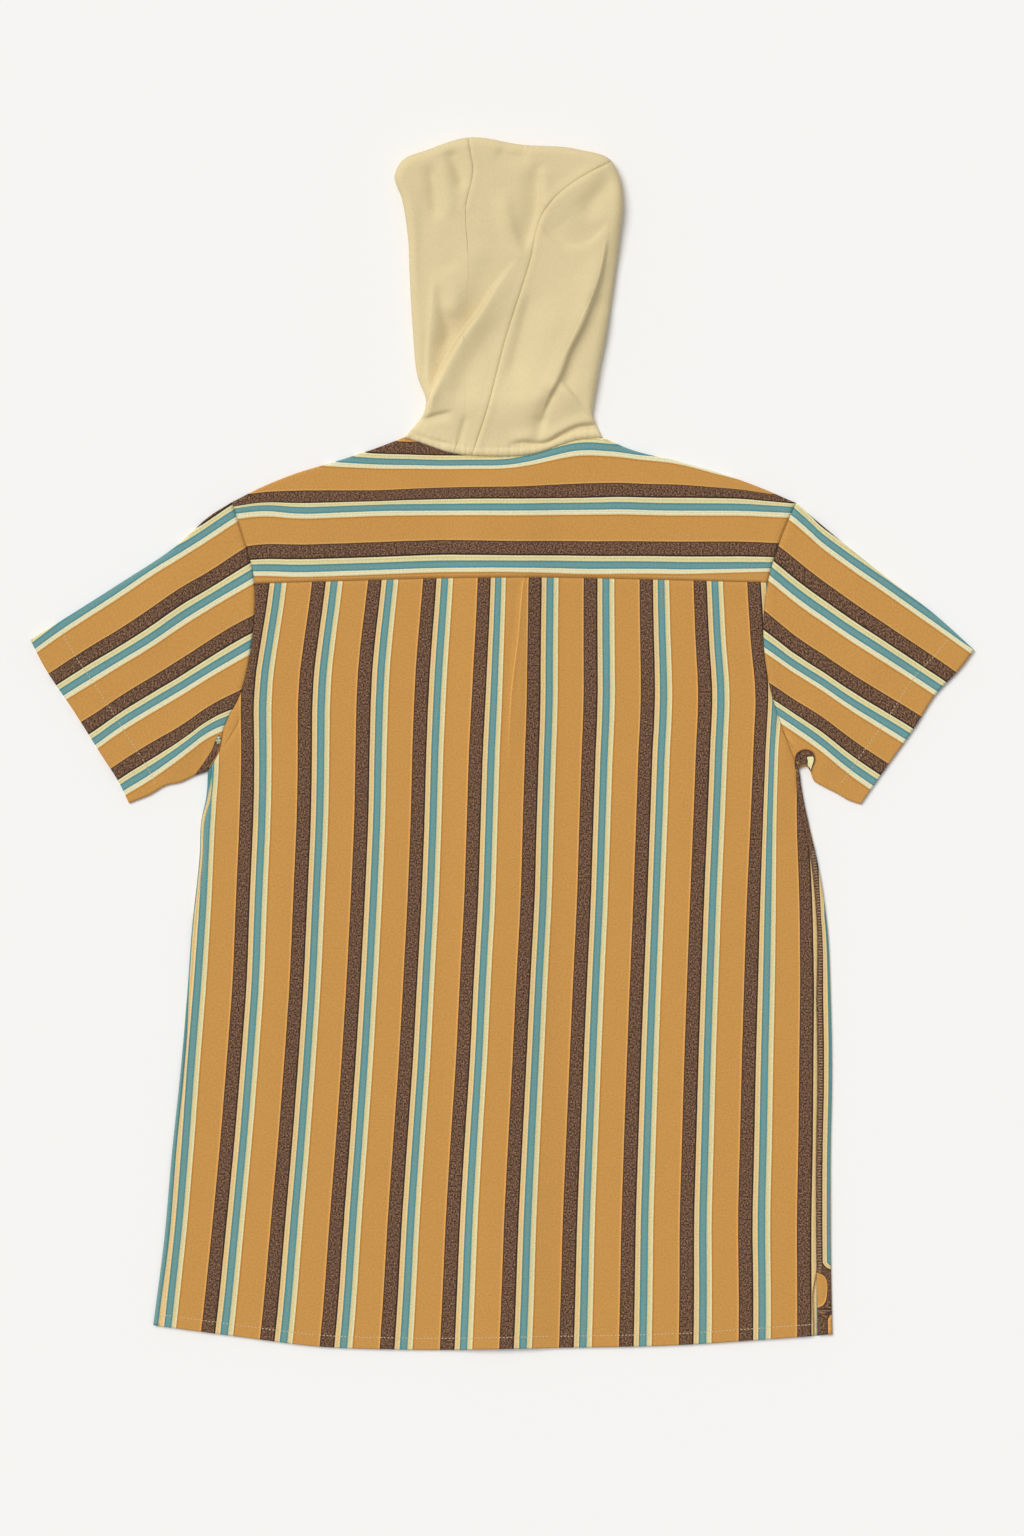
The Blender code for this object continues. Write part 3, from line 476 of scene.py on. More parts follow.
PLEAT = (
    Fold(
        2.2,
        10,
        1.9,
        (Place(29, 211), Place(19, 144), Place(13, 90), Place(9, 55), Place(7, 16), Place(6, -23)),
    ),
    Fold(
        -1.2,
        1.8,
        8,
        (Place(32, 211), Place(21, 144), Place(16, 90), Place(12, 55), Place(9, 16), Place(8, -23)),
    ),
)
CREASES = (  # sharp ones, painted into the cloth's colour: a painted highlight line with painted shade beside it, or the other way round
    Crease(
        1,
        (Place(20, 149.6), Place(18.7, 143.6), Place(16.5, 124.4), Place(13.5, 89.6))
        + (Place(9.1, 54.8), Place(6.5, 20), Place(5.7, -1.7), Place(4.8, -40.9)),
    ),
    Crease(-1, (Place(-227.9, 23.5), Place(-231.4, 15.7), Place(-237.9, 4.3), Place(-244.5, -6.1))),
    Crease(-0.9, (Place(242.7, 12.2), Place(248.4, 3), Place(256.2, -7.4))),
    Crease(
        0.4,
        (Place(89.2, 440.2), Place(86.6, 421.9), Place(83.3, 405.7))
        + (Place(66.6, 365.1), Place(47.4, 324.5), Place(37.8, 301)),
    ),
    Crease(
        0.3,
        (Place(-66.2, 288.5), Place(-57.9, 312.3), Place(-45.9, 336.3))
        + (Place(-26.8, 365.1), Place(-14.8, 384.2), Place(6.5, 398.5)),
    ),
)
SHIRT_FOLDS = (
    Fold(1.4, 10, 14, (Place(-236, 20), Place(-226, -30), Place(-222, -80))),
    Fold(1.6, 10, 12, (Place(246, 12), Place(240, -30), Place(238, -90))),
    Fold(1.5, 16, 22, (Place(-262, 168), Place(-300, 110), Place(-330, 60))),
    Fold(1.5, 20, 16, (Place(282, 160), Place(320, 100), Place(340, 50))),
    Fold(1.6, 12, 18, (Place(-246, 40), Place(-272, 0), Place(-300, -30))),
    Fold(1.6, 18, 12, (Place(250, 40), Place(272, 0), Place(292, -32))),
    Fold(1.2, 22, 26, (Place(-170, 60), Place(-190, -160), Place(-205, -420))),
    Fold(1.0, 26, 22, (Place(150, 70), Place(160, -180), Place(175, -440))),
    Fold(0.9, 20, 24, (Place(-190, 196), Place(-120, 204), Place(-60, 214))),
)
FOLD_FADE = 0.25
ARMPIT_RIM = (  # the curled opening of the right armpit, open to the floor below
    Place(254.3, -22.6),
    Place(253.6, -16.1),
    Place(256, -7.8),
    Place(263.2, -4.4),
    Place(270.5, -7),
    Place(272.4, -13.1),
    Place(270.6, -20.9),
    Place(269, -25.2),
    Place(266.6, -20.6),
    Place(262.6, -18.3),
    Place(258.6, -20),
    Place(255.8, -23.6),
    Place(254.3, -22.6),
)
ARMPIT_LIFT = (  # how far the sleeve's edge is drawn up there, at distances across
    Place(256.5, 0),
    Place(258.6, 3),
    Place(262.3, 7.4),
    Place(265.8, 9),
    Place(268.4, 6.8),
    Place(270, 2.6),
    Place(271.8, 0),
)


Array = np.ndarray


class Side(Enum):
    """Which skin of the laid-out shirt a patch of cloth belongs to."""

    UPPER = 1
    LOWER = -1


class Line:
    """A smooth line through a few places, measured by the distance along it."""

    SAMPLES = 260

    def __init__(self, places: Sequence[Sequence[float]]) -> None:
        """Draws the line.

        Args:
            places: the places it goes through, in order.
        """
        knots = np.array(places, float)
        spans = np.hypot(*np.diff(knots, axis=0).T)
        marks = np.concatenate([[0.0], np.cumsum(spans)])
        ways = np.gradient(knots, marks, axis=0)
        reach = np.linspace(0, marks[-1], self.SAMPLES)
        part = np.clip(np.searchsorted(marks, reach, side="right") - 1, 0, len(spans) - 1)
        span = spans[part][:, None]
        t = (reach - marks[part])[:, None] / span
        self.places = (
            (1 + 2 * t) * (1 - t) ** 2 * knots[part]
            + t * (1 - t) ** 2 * span * ways[part]
            + t**2 * (3 - 2 * t) * knots[part + 1]
            + t**2 * (t - 1) * span * ways[part + 1]
        )
        steps = np.hypot(*np.diff(self.places, axis=0).T)
        self.reach = np.concatenate([[0.0], np.cumsum(steps)])
        self.length = float(self.reach[-1])

    def at(self, distances: Array | float) -> Array:
        """The places at these distances along the line."""
        return np.stack([np.interp(distances, self.reach, axis) for axis in self.places.T], axis=-1)

    def spots(
        self, count: int, start: float = 0.0, stop: float | None = None, crowding: float = 1.0
    ) -> Array:
        """Places from one distance to another.

        Args:
            count: the number of steps.
            start: the first distance.
            stop: the last distance, or None for the line's end.
            crowding: 1 for even steps, more to draw them towards the last place.

        Returns:
            count + 1 places.
        """
        stop = self.length if stop is None else stop
        return self.at(stop + (start - stop) * np.linspace(1, 0, count + 1) ** crowding)

    def nearest(self, place: Sequence[float]) -> float:
        """The distance along the line to its nearest place."""
        return float(self.reach[np.argmin(np.hypot(*(self.places - place).T))])

    def away(self, plan: Array, stride: int = 8) -> tuple[Array, Array]:
        """How far each place lies from the line.

        Args:
            plan: the places, in any array shape that ends in 2.
            stride: how coarsely the nearest stretch is looked for first.

        Returns:
            the distance, positive on the line's left, and the part of the way along the line.
        """
        flat = plan.reshape(-1, 2)
        spans = np.diff(self.places, axis=0)
        coarse = self.places[::stride]
        first = np.hypot(*(flat[:, None] - coarse).transpose(2, 0, 1)).argmin(-1) * stride
        near = np.clip(first[:, None] + np.arange(-stride, stride), 0, len(spans) - 1)
        away = flat[:, None] - self.places[near]
        span = spans[near]
        share = np.clip((away * span).sum(-1) / (span**2).sum(-1), 0, 1)
        off = away - share[..., None] * span
        distance = np.hypot(off[..., 0], off[..., 1])
        best = distance.argmin(-1)[:, None]
        turn = np.take_along_axis(span[..., 0] * away[..., 1] - span[..., 1] * away[..., 0], best, -1)
        distance = np.copysign(np.take_along_axis(distance, best, -1), turn)[:, 0]
        share = np.take_along_axis(share, best, -1)[:, 0]
        best = np.take_along_axis(near, best, -1)[:, 0]
        along = (self.reach[best] + share * (self.reach[best + 1] - self.reach[best])) / self.length
        return distance.reshape(plan.shape[:-1]), along.reshape(plan.shape[:-1])

    def near(self, plan: Array, margin: float) -> tuple[Array, Array, Array]:
        """The same as away(), only for the places within a margin of the line's box.

        Args:
            plan: the places.
            margin: how far from the line's box they may lie.

        Returns:
            a mask of the places that are near, and the distance and part of the way of each of those.
        """
        low, high = self.places.min(0) - margin, self.places.max(0) + margin
        close = ((plan >= low) & (plan <= high)).all(-1)
        if not close.any():
            return close, np.zeros(0), np.zeros(0)
        distance, along = self.away(plan[close])
        return close, distance, along


def column(rows: Sequence[NamedTuple], x_name: str, y_name: str) -> list[tuple[float, float]]:
    """The places in two columns of a table."""
    return [(getattr(row, x_name), getattr(row, y_name)) for row in rows]


def smooth_step(x: Array | float) -> Array:
    """0 below 0, 1 above 1, and a smooth rise between."""
    x = np.clip(x, 0, 1)
    return x * x * (3 - 2 * x)


def unit(ways: Array) -> Array:
    """The same directions, of length 1."""
    return ways / np.linalg.norm(ways, axis=-1, keepdims=True)


class Half:
    """The lines of one half of the shirt, left or right."""

    def __init__(self, name: str, sleeve: Sequence[SleeveRow], inward: int) -> None:
        """Draws the half's lines.

        Args:
            name: left or right, as the tables' columns are named.
            sleeve: the table of that sleeve.
            inward: 1 where the shirt's middle lies to the right of this half's edge, otherwise -1.
        """
        self.name = name
        self.inward = inward
        self.seam_inset = getattr(SIDE_SEAMS[-1], name)
        self.side = Line(column(SIDES, name + "_x", name + "_y"))
        self.armhole = Line(column(ARMHOLES, name + "_x", name + "_y"))
        self.shoulder = Line(column(SHOULDERS, name + "_x", name + "_y"))
        self.sleeve_top = Line(column(sleeve, "top_x", "top_y"))
        self.sleeve_under = Line(column(sleeve, "under_x", "under_y"))
        self.cuff = Line(column(sleeve, "cuff_x", "cuff_y"))
        near_pit = self.armhole.at(np.array([self.armhole.length - CHORD, self.armhole.length]))
        self.up_armhole = unit(near_pit[0] - near_pit[1])
        near_top = self.armhole.at(np.array([0, CHORD]))
        self.down_armhole = unit(near_top[1] - near_top[0])
        self.seam_on_armhole = self.armhole.nearest(YOKE_SEAM[0] if name == "left" else YOKE_SEAM[-1])

    def side_places(self, count: int = SIDE_ROWS) -> tuple[Array, Array]:
        """The folded side edge from hem to armpit, and the directions in from it."""
        outline = self.side.spots(count)
        ways = turned(ways_in(outline, -self.inward), last=self.up_armhole, blend=8)
        return outline, ways

    def side_seam(self, vent: float = 0.0) -> Array:
        """The side seam on the upper side, from hem to armpit.

        Args:
            vent: how far it is moved in at the vent.

        Returns:
            its places, one for each of the folded edge's.
        """
        outline, ways = self.side_places()
        inset = np.interp(outline[:, 1], *zip(*column(SIDE_SEAMS, "y", self.name)))
        into_vent = np.clip((VENT_TOP_Y - outline[:, 1]) / VENT_FADE, 0, 1)
        return outline + ways * (inset + vent * into_vent)[:, None]

    def upper_armhole(self) -> tuple[Array, Array]:
        """Upper side, from armpit to shoulder: the back's places, and the yoke's."""
        pit = self.armhole.length - self.seam_inset
        back = self.armhole.spots(BACK_ARMHOLE_ROWS, pit, self.seam_on_armhole)
        yoke = self.armhole.spots(YOKE_ROWS, self.seam_on_armhole, EDGE_RADIUS)
        return back, yoke

    def lower_armhole(self) -> tuple[Array, Array]:
        """Lower side, from armpit to shoulder: the front's places, and the turned-over yoke's."""
        pit = self.armhole.length - EDGE_RADIUS
        front = self.armhole.spots(FRONT_ARMHOLE_ROWS, pit, YOKE_TURN)
        yoke = self.armhole.spots(TURN_ROWS, YOKE_TURN, EDGE_RADIUS)
        return front, yoke

    def way_from_neck(self, line: Line) -> Array:
        """The direction in which a line leaves this half's neck point."""
        ends = [0, CHORD] if self.name == "left" else [line.length, line.length - CHORD]
        places = line.at(np.array(ends))
        return unit(places[1] - places[0])

    def shoulder_band(self) -> list["Patch"]:
        """The yoke's cloth round the folded shoulder, from sleeve to neck."""
        outline = self.shoulder.spots(SHOULDER_COLUMNS)
        ways = ways_in(outline, -self.inward)
        upper = turned(ways, self.down_armhole, self.way_from_neck(NECK_LINE), blend=6)
        lower = turned(ways, self.down_armhole, self.way_from_neck(NECKLINE), blend=6)
        return edge_band(outline, upper, lower, np.full(len(outline), EDGE_RADIUS), last_ease=SHOULDER_EASE)

    def neckline_places(self) -> tuple[Array, Array]:
        """The front neckline, from the neck point: the turned-over yoke's places, and the front's."""
        count = LEFT_HOOD_COLUMNS if self.name == "left" else RIGHT_HOOD_COLUMNS
        end = NECKLINE.nearest((CENTER_X - self.inward * FACE_EDGE_GAP / 2, NECKLINE_Y))
        if self.name == "left":
            start, turn = EDGE_RADIUS, YOKE_TURN
        else:
            start, turn = NECKLINE.length - EDGE_RADIUS, NECKLINE.length - YOKE_TURN
        return NECKLINE.spots(TURN_ROWS, start, turn), NECKLINE.spots(count - TURN_ROWS, turn, end)

    def front_shoulder_seam(self) -> Array:
        """Lower side, from armhole to neckline."""
        start = self.armhole.at(YOKE_TURN)
        end = self.neckline_places()[0][-1]
        outline = self.shoulder.spots(SHOULDER_COLUMNS)
        drop = outline + ways_in(outline, -self.inward) * YOKE_TURN
        share = np.linspace(0, 1, len(drop))[:, None]
        return drop + (start - drop[0]) * (1 - share) + (end - drop[-1]) * share


def ways_in(places: Array, side: int) -> Array:
    """The direction square to a line at each of its places, to its left for 1 and to its right for -1."""
    along = unit(np.gradient(places, axis=0))
    return side * np.stack([-along[:, 1], along[:, 0]], axis=-1)


def turned(ways: Array, first: Array | None = None, last: Array | None = None, blend: int = 2) -> Array:
    """The same directions, swung at an end towards the seam that runs into the edge there.

    Args:
        ways: the directions.
        first: the seam's direction at the first place, if one runs in there.
        last: the same at the last place.
        blend: over how many places they swing back.

    Returns:
        the new directions.
    """
    ways = ways.copy()
    for way, order in ((first, range(blend)), (last, range(-1, -1 - blend, -1))):
        if way is not None:
            for step, index in enumerate(order):
                share = 1 - step / blend
                ways[index] = unit(ways[index] * (1 - share) + np.array(way) * share)
    return ways


def join(*parts: Array) -> Array:
    """One list of places from several that each start where the last ended."""
    return np.concatenate([parts[0]] + [part[1:] for part in parts[1:]])


def spread(bottom: Array, top: Array, left: Array, right: Array) -> Array:
    """Places all over a patch between four edges.

    Args:
        bottom: a place for each column.
        top: the same.
        left: a place for each row.
        right: the same.

    Returns:
        rows of places.
    """
    lengths = np.hypot(*np.diff(left, axis=0).T) + np.hypot(*np.diff(right, axis=0).T)
    v = np.concatenate([[0.0], np.cumsum(lengths)]) / lengths.sum()
    widths = np.hypot(*np.diff(bottom, axis=0).T) + np.hypot(*np.diff(top, axis=0).T)
    u = np.concatenate([[0.0], np.cumsum(widths)]) / widths.sum()
    u, v = u[None, :, None], v[:, None, None]
    ends = (
        (1 - u) * (1 - v) * bottom[0]
        + u * (1 - v) * bottom[-1]
        + (1 - u) * v * top[0]
        + u * v * top[-1]
    )
    return (1 - v) * bottom + v * top + (1 - u) * left[:, None] + u * right[:, None] - ends


@dataclass
class Patch:
    """A part of one skin of the garment."""

    plan: Array  # rows of columns of places
    side: Side
    pattern: Callable[[Array], Array] | None = None  # gives the stripes' places; None for the piece's own


def edge_band(
    outline: Array,
    upper_ways: Array,
    lower_ways: Array,
    radii: Array,
    first_ease: float = 0.0,
    last_ease: float = 0.0,
) -> list[Patch]:
    """The cloth that turns round a folded edge.

    Args:
        outline: the folded edge's places.
        upper_ways: the directions in from it on the upper side.
        lower_ways: the same on the lower side.
        radii: how far in the cloth turns, at each place.
        first_ease: how far the outermost cloth stops short of a corner at the first place.
        last_ease: the same at the last place.

    Returns:
        the upper and the lower patch.
    """
    ease = np.zeros_like(outline)
    ease[0] = first_ease * unit(outline[1] - outline[0])
    ease[-1] = last_ease * unit(outline[-2] - outline[-1])
    for index in (1, 2):  # the easing fades over the next places
        ease[index] = ease[0] * (1 - index / 3)
        ease[-1 - index] = ease[-1] * (1 - index / 3)
    bands = []
    for ways, side in ((upper_ways, Side.UPPER), (lower_ways, Side.LOWER)):
        steps = [
            outline + ways * (radii * step)[:, None] + ease * share
            for step, share in zip(EDGE_STEPS, EASE_SHARES)
        ]
        bands.append(Patch(np.stack(steps, axis=1), side))
    return bands


HOOD_LINE = Line(
    [(row.left, row.y) for row in HOOD_SIDES]
    + list(CROWN)
    + [(row.right, row.y) for row in reversed(HOOD_SIDES)]
)
NECK_LINE = Line(NECK_SEAM)
HOOD_BASE_LINE = Line([Place(place.x, place.y + HOOD_BASE_STITCH) for place in NECK_SEAM])
NECKLINE = Line(FRONT_NECKLINE)
YOKE_LINE = Line(YOKE_SEAM)
LEFT_HALF = Half("left", LEFT_SLEEVE, inward=1)
RIGHT_HALF = Half("right", RIGHT_SLEEVE, inward=-1)
HALVES = (LEFT_HALF, RIGHT_HALF)


def hem_places(xs: Array) -> Array:
    """The places of the bottom hem at these distances across."""
    hem = Line(HEM)
    return np.stack([xs, np.interp(xs, hem.places[:, 0], hem.places[:, 1])], axis=-1)


def neck_seam_places() -> list[Array]:
    """The neck seam on the upper side, one list for each hood panel from left to right."""
    marks = [
        EDGE_RADIUS,
        NECK_LINE.nearest(LEFT_HOOD_SEAM[0]),
        NECK_LINE.nearest(RIGHT_HOOD_SEAM[0]),
        NECK_LINE.length - EDGE_RADIUS,
    ]
    counts = (LEFT_HOOD_COLUMNS, CENTER_HOOD_COLUMNS, RIGHT_HOOD_COLUMNS)
    return [NECK_LINE.spots(count, start, stop) for count, start, stop in zip(counts, marks, marks[1:])]


# Relief


def above_neck(plan: Array) -> Array:
    """How far each place lies above the neck seam, less than 0 on the shirt."""
    return plan[..., 1] - np.interp(plan[..., 0], NECK_LINE.places[:, 0], NECK_LINE.places[:, 1])


def over_band(plan: Array) -> Array:
    """1 over the buttoned bands, 0 away from them."""
    off = np.abs(plan[..., 0] - CENTER_X)
    across = smooth_step((2 * BAND_HALF_WIDTH + BAND_SLOPE - off) / (BAND_HALF_WIDTH + BAND_SLOPE))
    return across * smooth_step((BAND_TOP_Y - plan[..., 1]) / BAND_TOP_FADE)


def band_lift(plan: Array, edge_side: int, height: float) -> Array:
    """How much the buttoned band lifts a front or a hood flap.

    Args:
        plan: the places.
        edge_side: the side that the piece comes from, -1 for the left.
        height: the lift on the band itself.

    Returns:
        the lift at each place.
    """
    reach = (plan[..., 0] - CENTER_X) * edge_side
    across = smooth_step((BAND_HALF_WIDTH + BAND_SLOPE + 1 - reach) / BAND_SLOPE)
    below_neckline = np.interp(plan[..., 0], NECKLINE.places[:, 0], NECKLINE.places[:, 1])
    return height * across * smooth_step(1 - (plan[..., 1] - below_neckline) / NECKLINE_FADE)


class Swell(NamedTuple):
    """Gentle unevenness of cloth that lies loosely."""

    size: float  # the waves' length
    height: float  # the largest rise
    seed: float  # tells one field from another

    def rise(self, plan: Array) -> Array:
        """The rise at each place."""
        flat = plan.reshape(-1, 2) / self.size
        values = [noise.noise(Vector((x, y, self.seed))) for x, y in flat]
        return self.height * np.array(values).reshape(plan.shape[:-1])


SHIRT_SWELLS = (Swell(70, 0.5, 3.1), Swell(26, 0.16, 8.7))
HOOD_SWELLS = (Swell(34, 1.0, 1.3), Swell(13, 0.2, 5.9))
NECK_OVERLAP = 2  # how far the shirt's and the hood's heights reach past the neck seam
NECK_FOLD_FADE = 5
PUCKER_WAVES = (0.9, 0.13, 0.31)  # radians a millimetre
PUCKER_REACH = 5.0


@dataclass(frozen=True)
class Dip:
    """A sewn seam's groove, with the small ridges of turned-under cloth beside it."""

    line: Line
    depth: float
    width: float
    ridge: float = 0.0  # the ridges' height
    ridge_at: float = 4.0  # and their distance from the line
    pucker: float = 0.0  # the height of the waves along it

    def height(self, plan: Array) -> Array:
        """The groove's height at each place."""
        total = np.zeros(plan.shape[:-1])
        close, off, along = self.line.near(plan, 4 * self.width + 2 * self.ridge_at)
        if close.any():
            rise = -self.depth * np.exp(-((off / self.width) ** 2))
            rise += self.ridge * np.exp(-(((np.abs(off) - self.ridge_at) / self.ridge_at) ** 2))
            if self.pucker:
                reach = along * self.line.length
                short, drift, long = PUCKER_WAVES
                wave = np.sin(reach * short + 2 * np.sin(reach * drift)) * np.sin(reach * long + 1)
                rise += self.pucker * wave * np.exp(-((off / PUCKER_REACH) ** 2))
            total[close] = rise
        return total


class Relief:
    """The heights of both skins of the laid-out garment."""

    def __init__(self) -> None:
        """Draws the folds and seams."""
        self.hood_folds = [(fold, Line(fold.places)) for fold in HOOD_FOLDS]
        self.neck_folds = [(fold, Line(fold.places)) for fold in NECK_FOLDS]
        self.shirt_folds = [(fold, Line(fold.places)) for fold in SHIRT_FOLDS]
        self.pleat = [(fold, Line(fold.places)) for fold in PLEAT]
        self.sharp = [(crease, Line(crease.places)) for crease in CREASES]
        self.edges = [HOOD_LINE] + [
            line
            for half in HALVES
            for line in (half.side, half.sleeve_under, half.sleeve_top, half.shoulder)
        ]
        self.hood_dips = [
            Dip(Line(RIGHT_HOOD_SEAM), depth=0.9, width=1.0, ridge=0.35, ridge_at=3.2, pucker=0.12),
            Dip(Line(LEFT_HOOD_SEAM[4:]), depth=0.8, width=1.0, ridge=0.3, ridge_at=3.2, pucker=0.12),
            Dip(NECK_LINE, depth=1.2, width=1.3, ridge=0.6, ridge_at=4.0, pucker=0.45),
            Dip(HOOD_BASE_LINE, depth=0.55, width=0.9, pucker=0.25),
        ]
        self.shirt_dips = [
            Dip(YOKE_LINE, depth=0.7, width=1.3, ridge=0.25, ridge_at=4.0, pucker=0.08),
            Dip(NECK_LINE, depth=0.8, width=2.0),
        ]
        for half in HALVES:
            side = Line(half.side_seam())
            self.shirt_dips += [
                Dip(half.armhole, depth=0.8, width=1.6, ridge=0.35, ridge_at=5.0, pucker=0.15),
                Dip(side, depth=0.6, width=1.3, ridge=0.2, ridge_at=3.5),
            ]

    @staticmethod
    def folds(folds: Sequence[tuple[Fold, Line]], plan: Array) -> Array:
        """The height of a set of folds at each place."""
        total = np.zeros(plan.shape[:-1])
        for fold, line in folds:
            close, off, along = line.near(plan, 2.6 * max(fold.left_width, fold.right_width))
            if close.any():
                width = np.where(off > 0, fold.left_width, fold.right_width)
                fade = smooth_step(along / FOLD_FADE) * smooth_step((1 - along) / FOLD_FADE)
                total[close] += fold.height * np.exp(-((off / width) ** 2)) * fade
        return total

    def creases(self, plan: Array) -> Array:
        """How far each place lies from the nearest sharp crease, and how strong the highlight and shade
        painted along it are there.
        """
        found = np.zeros(plan.shape)
        found[..., 0] = CREASE_REACH
        for crease, line in self.sharp:
            close, off, along = line.near(plan, CREASE_REACH)
            if close.any():
                here = found[close]
                fade = smooth_step(along / CREASE_START) * smooth_step((1 - along) / CREASE_END)
                nearer = np.abs(off) < np.abs(here[:, 0])
                mark = np.stack([np.clip(off, -CREASE_REACH, CREASE_REACH), crease.strength * fade], axis=-1)
                found[close] = np.where(nearer[:, None], mark, here)
        return found

    def upper(self, plan: Array) -> Array:
        """Middle of the upper cloth, away from the folded edges."""
        rise = above_neck(plan)
        lift = smooth_step(rise / HOOD_RISE_LENGTH)
        height = UPPER_LAYER + BAND_SWELL * over_band(plan) + HOOD_LOFT * lift
        shirt, hood = rise <= NECK_OVERLAP, rise > -NECK_OVERLAP
        if shirt.any():
            part = plan[shirt]
            own = self.folds(self.shirt_folds, part)
            for waves in SHIRT_SWELLS:
                own += waves.rise(part)
            own += self.folds(self.pleat, part) * (part[..., 1] < YOKE_SEAM[0].y + 2)
            for dip in self.shirt_dips:
                own += dip.height(part)
            height[shirt] += own * (1 - lift[shirt])
        if hood.any():
            part = plan[hood]
            own = self.folds(self.hood_folds, part)
            for waves in HOOD_SWELLS:
                own += waves.rise(part)
            own *= lift[hood]
            own += self.folds(self.neck_folds, part) * smooth_step(rise[hood] / NECK_FOLD_FADE)
            height[hood] += own
            for dip in self.hood_dips:
                height[hood] += dip.height(part)
        return height

    def roundness(self, plan: Array) -> Array:
        """0 at the folded outline, 1 from its radius inwards, on a quarter circle between."""
        lift = smooth_step(above_neck(plan) / HOOD_RISE_LENGTH)
        radius = EDGE_RADIUS + (HOOD_EDGE_RADIUS - EDGE_RADIUS) * lift
        inside = np.full(plan.shape[:-1], 1e9)
        for line in self.edges:
            close, off, _ = line.near(plan, HOOD_EDGE_RADIUS)
            inside[close] = np.minimum(inside[close], np.abs(off))
        return np.sqrt(1 - (1 - np.clip(inside / radius, 0, 1)) ** 2)

    def heights(self, patch: Patch, wall: float, lower_lift: Callable[[Array], Array] | None) -> Array:
        """The middle of the cloth all over a patch.

        Args:
            patch: the patch.
            wall: the cloth's thickness.
            lower_lift: lifts the lower skin at each place, or None.

        Returns:
            the heights.
        """
        upper = self.upper(patch.plan)
        middle = (upper + wall / 2) / 2
        rounded = self.roundness(patch.plan)
        if patch.side is Side.UPPER:
            return middle + (upper - middle) * rounded
        lower = wall / 2 + (0 if lower_lift is None else lower_lift(patch.plan))
        return middle - (middle - lower) * rounded


# Stripes


class BodyStripeRow(NamedTuple):
    """Where the outermost teal stripe and some brown ones lie at one level of the body."""

    y: float
    outer_teal: float
    brown_0: float
    brown_2: float
    brown_4: float
    brown_5: float
    brown_7: float
    brown_9: float
    brown_10: float


class YokeStripeRow(NamedTuple):
    """The levels of the yoke's stripes at one distance across."""

    x: float
    upper_teal: float
    upper_brown: float
    middle_teal: float
    lower_brown: float
    lower_teal: float


class SleeveStripeRow(NamedTuple):
    """The levels of a sleeve's stripes at one distance across."""

    x: float
    teal_1: float
    brown_2: float
    teal_2: float
    brown_3: float
    teal_3: float
    brown_4: float
    teal_4: float


class StripRow(NamedTuple):
    """The stripes on the front's strip outside a side seam, as parts of a repeat, at one level."""

    y: float
    at_seam: float
    at_edge: float


BODY_STRIPES = (  # middles of the outermost teal stripe and of seven brown ones, from the left
    BodyStripeRow(133.1, -252.4, -209.1, -111.7, -15.8, 28.1, 125.4, 219.1, 268.1),
    BodyStripeRow(107, -252.4, -212.4, -114.7, -16.7, 27.7, 125.6, 220.8, 269),
    BodyStripeRow(80.9, -252.4, -217.7, -118, -18.2, 27.3, 126.3, 222.3, 270.7),
    BodyStripeRow(46.1, -252.4, -222.5, -120.4, -20, 27, 126.7, 227.3, 266.8),
    BodyStripeRow(28.7, -252.4, -222.6, -120.6, -20.8, 27.2, 126.8, 226.4, 265),
    BodyStripeRow(11.3, -252.4, -222.2, -121.2, -22.1, 26.2, 125.3, 225, 262.5),
    BodyStripeRow(-14.8, -252.4, -221.7, -121.6, -23.2, 25.5, 124.2, 224.3, 260.6),
    BodyStripeRow(-67, -257.3, -222.7, -122.5, -24.7, 23.8, 122.5, 222, 260.6),
    BodyStripeRow(-136.6, -260.2, -225.9, -125.7, -26.9, 22.1, 120, 218.7, 264.1),
    BodyStripeRow(-206.2, -265, -228.1, -129.3, -30.8, 18.2, 117.1, 216.5, 265.1),
    BodyStripeRow(-275.8, -270.7, -233.3, -133.6, -34, 14.9, 114.4, 214.4, 264.4),
    BodyStripeRow(-345.4, -275.6, -239, -138.5, -38.8, 11.3, 112.1, 212.9, 263.8),
    BodyStripeRow(-415, -281.1, -245.8, -144, -43, 7.8, 109.8, 211.1, 262.4),
    BodyStripeRow(-484.6, -288.6, -252.8, -148.7, -45.9, 5.4, 108.7, 212.2, 262.7),
    BodyStripeRow(-528.1, -293.5, -258, -152.9, -47.9, 3.5, 107.7, 211.8, 262.7),
)
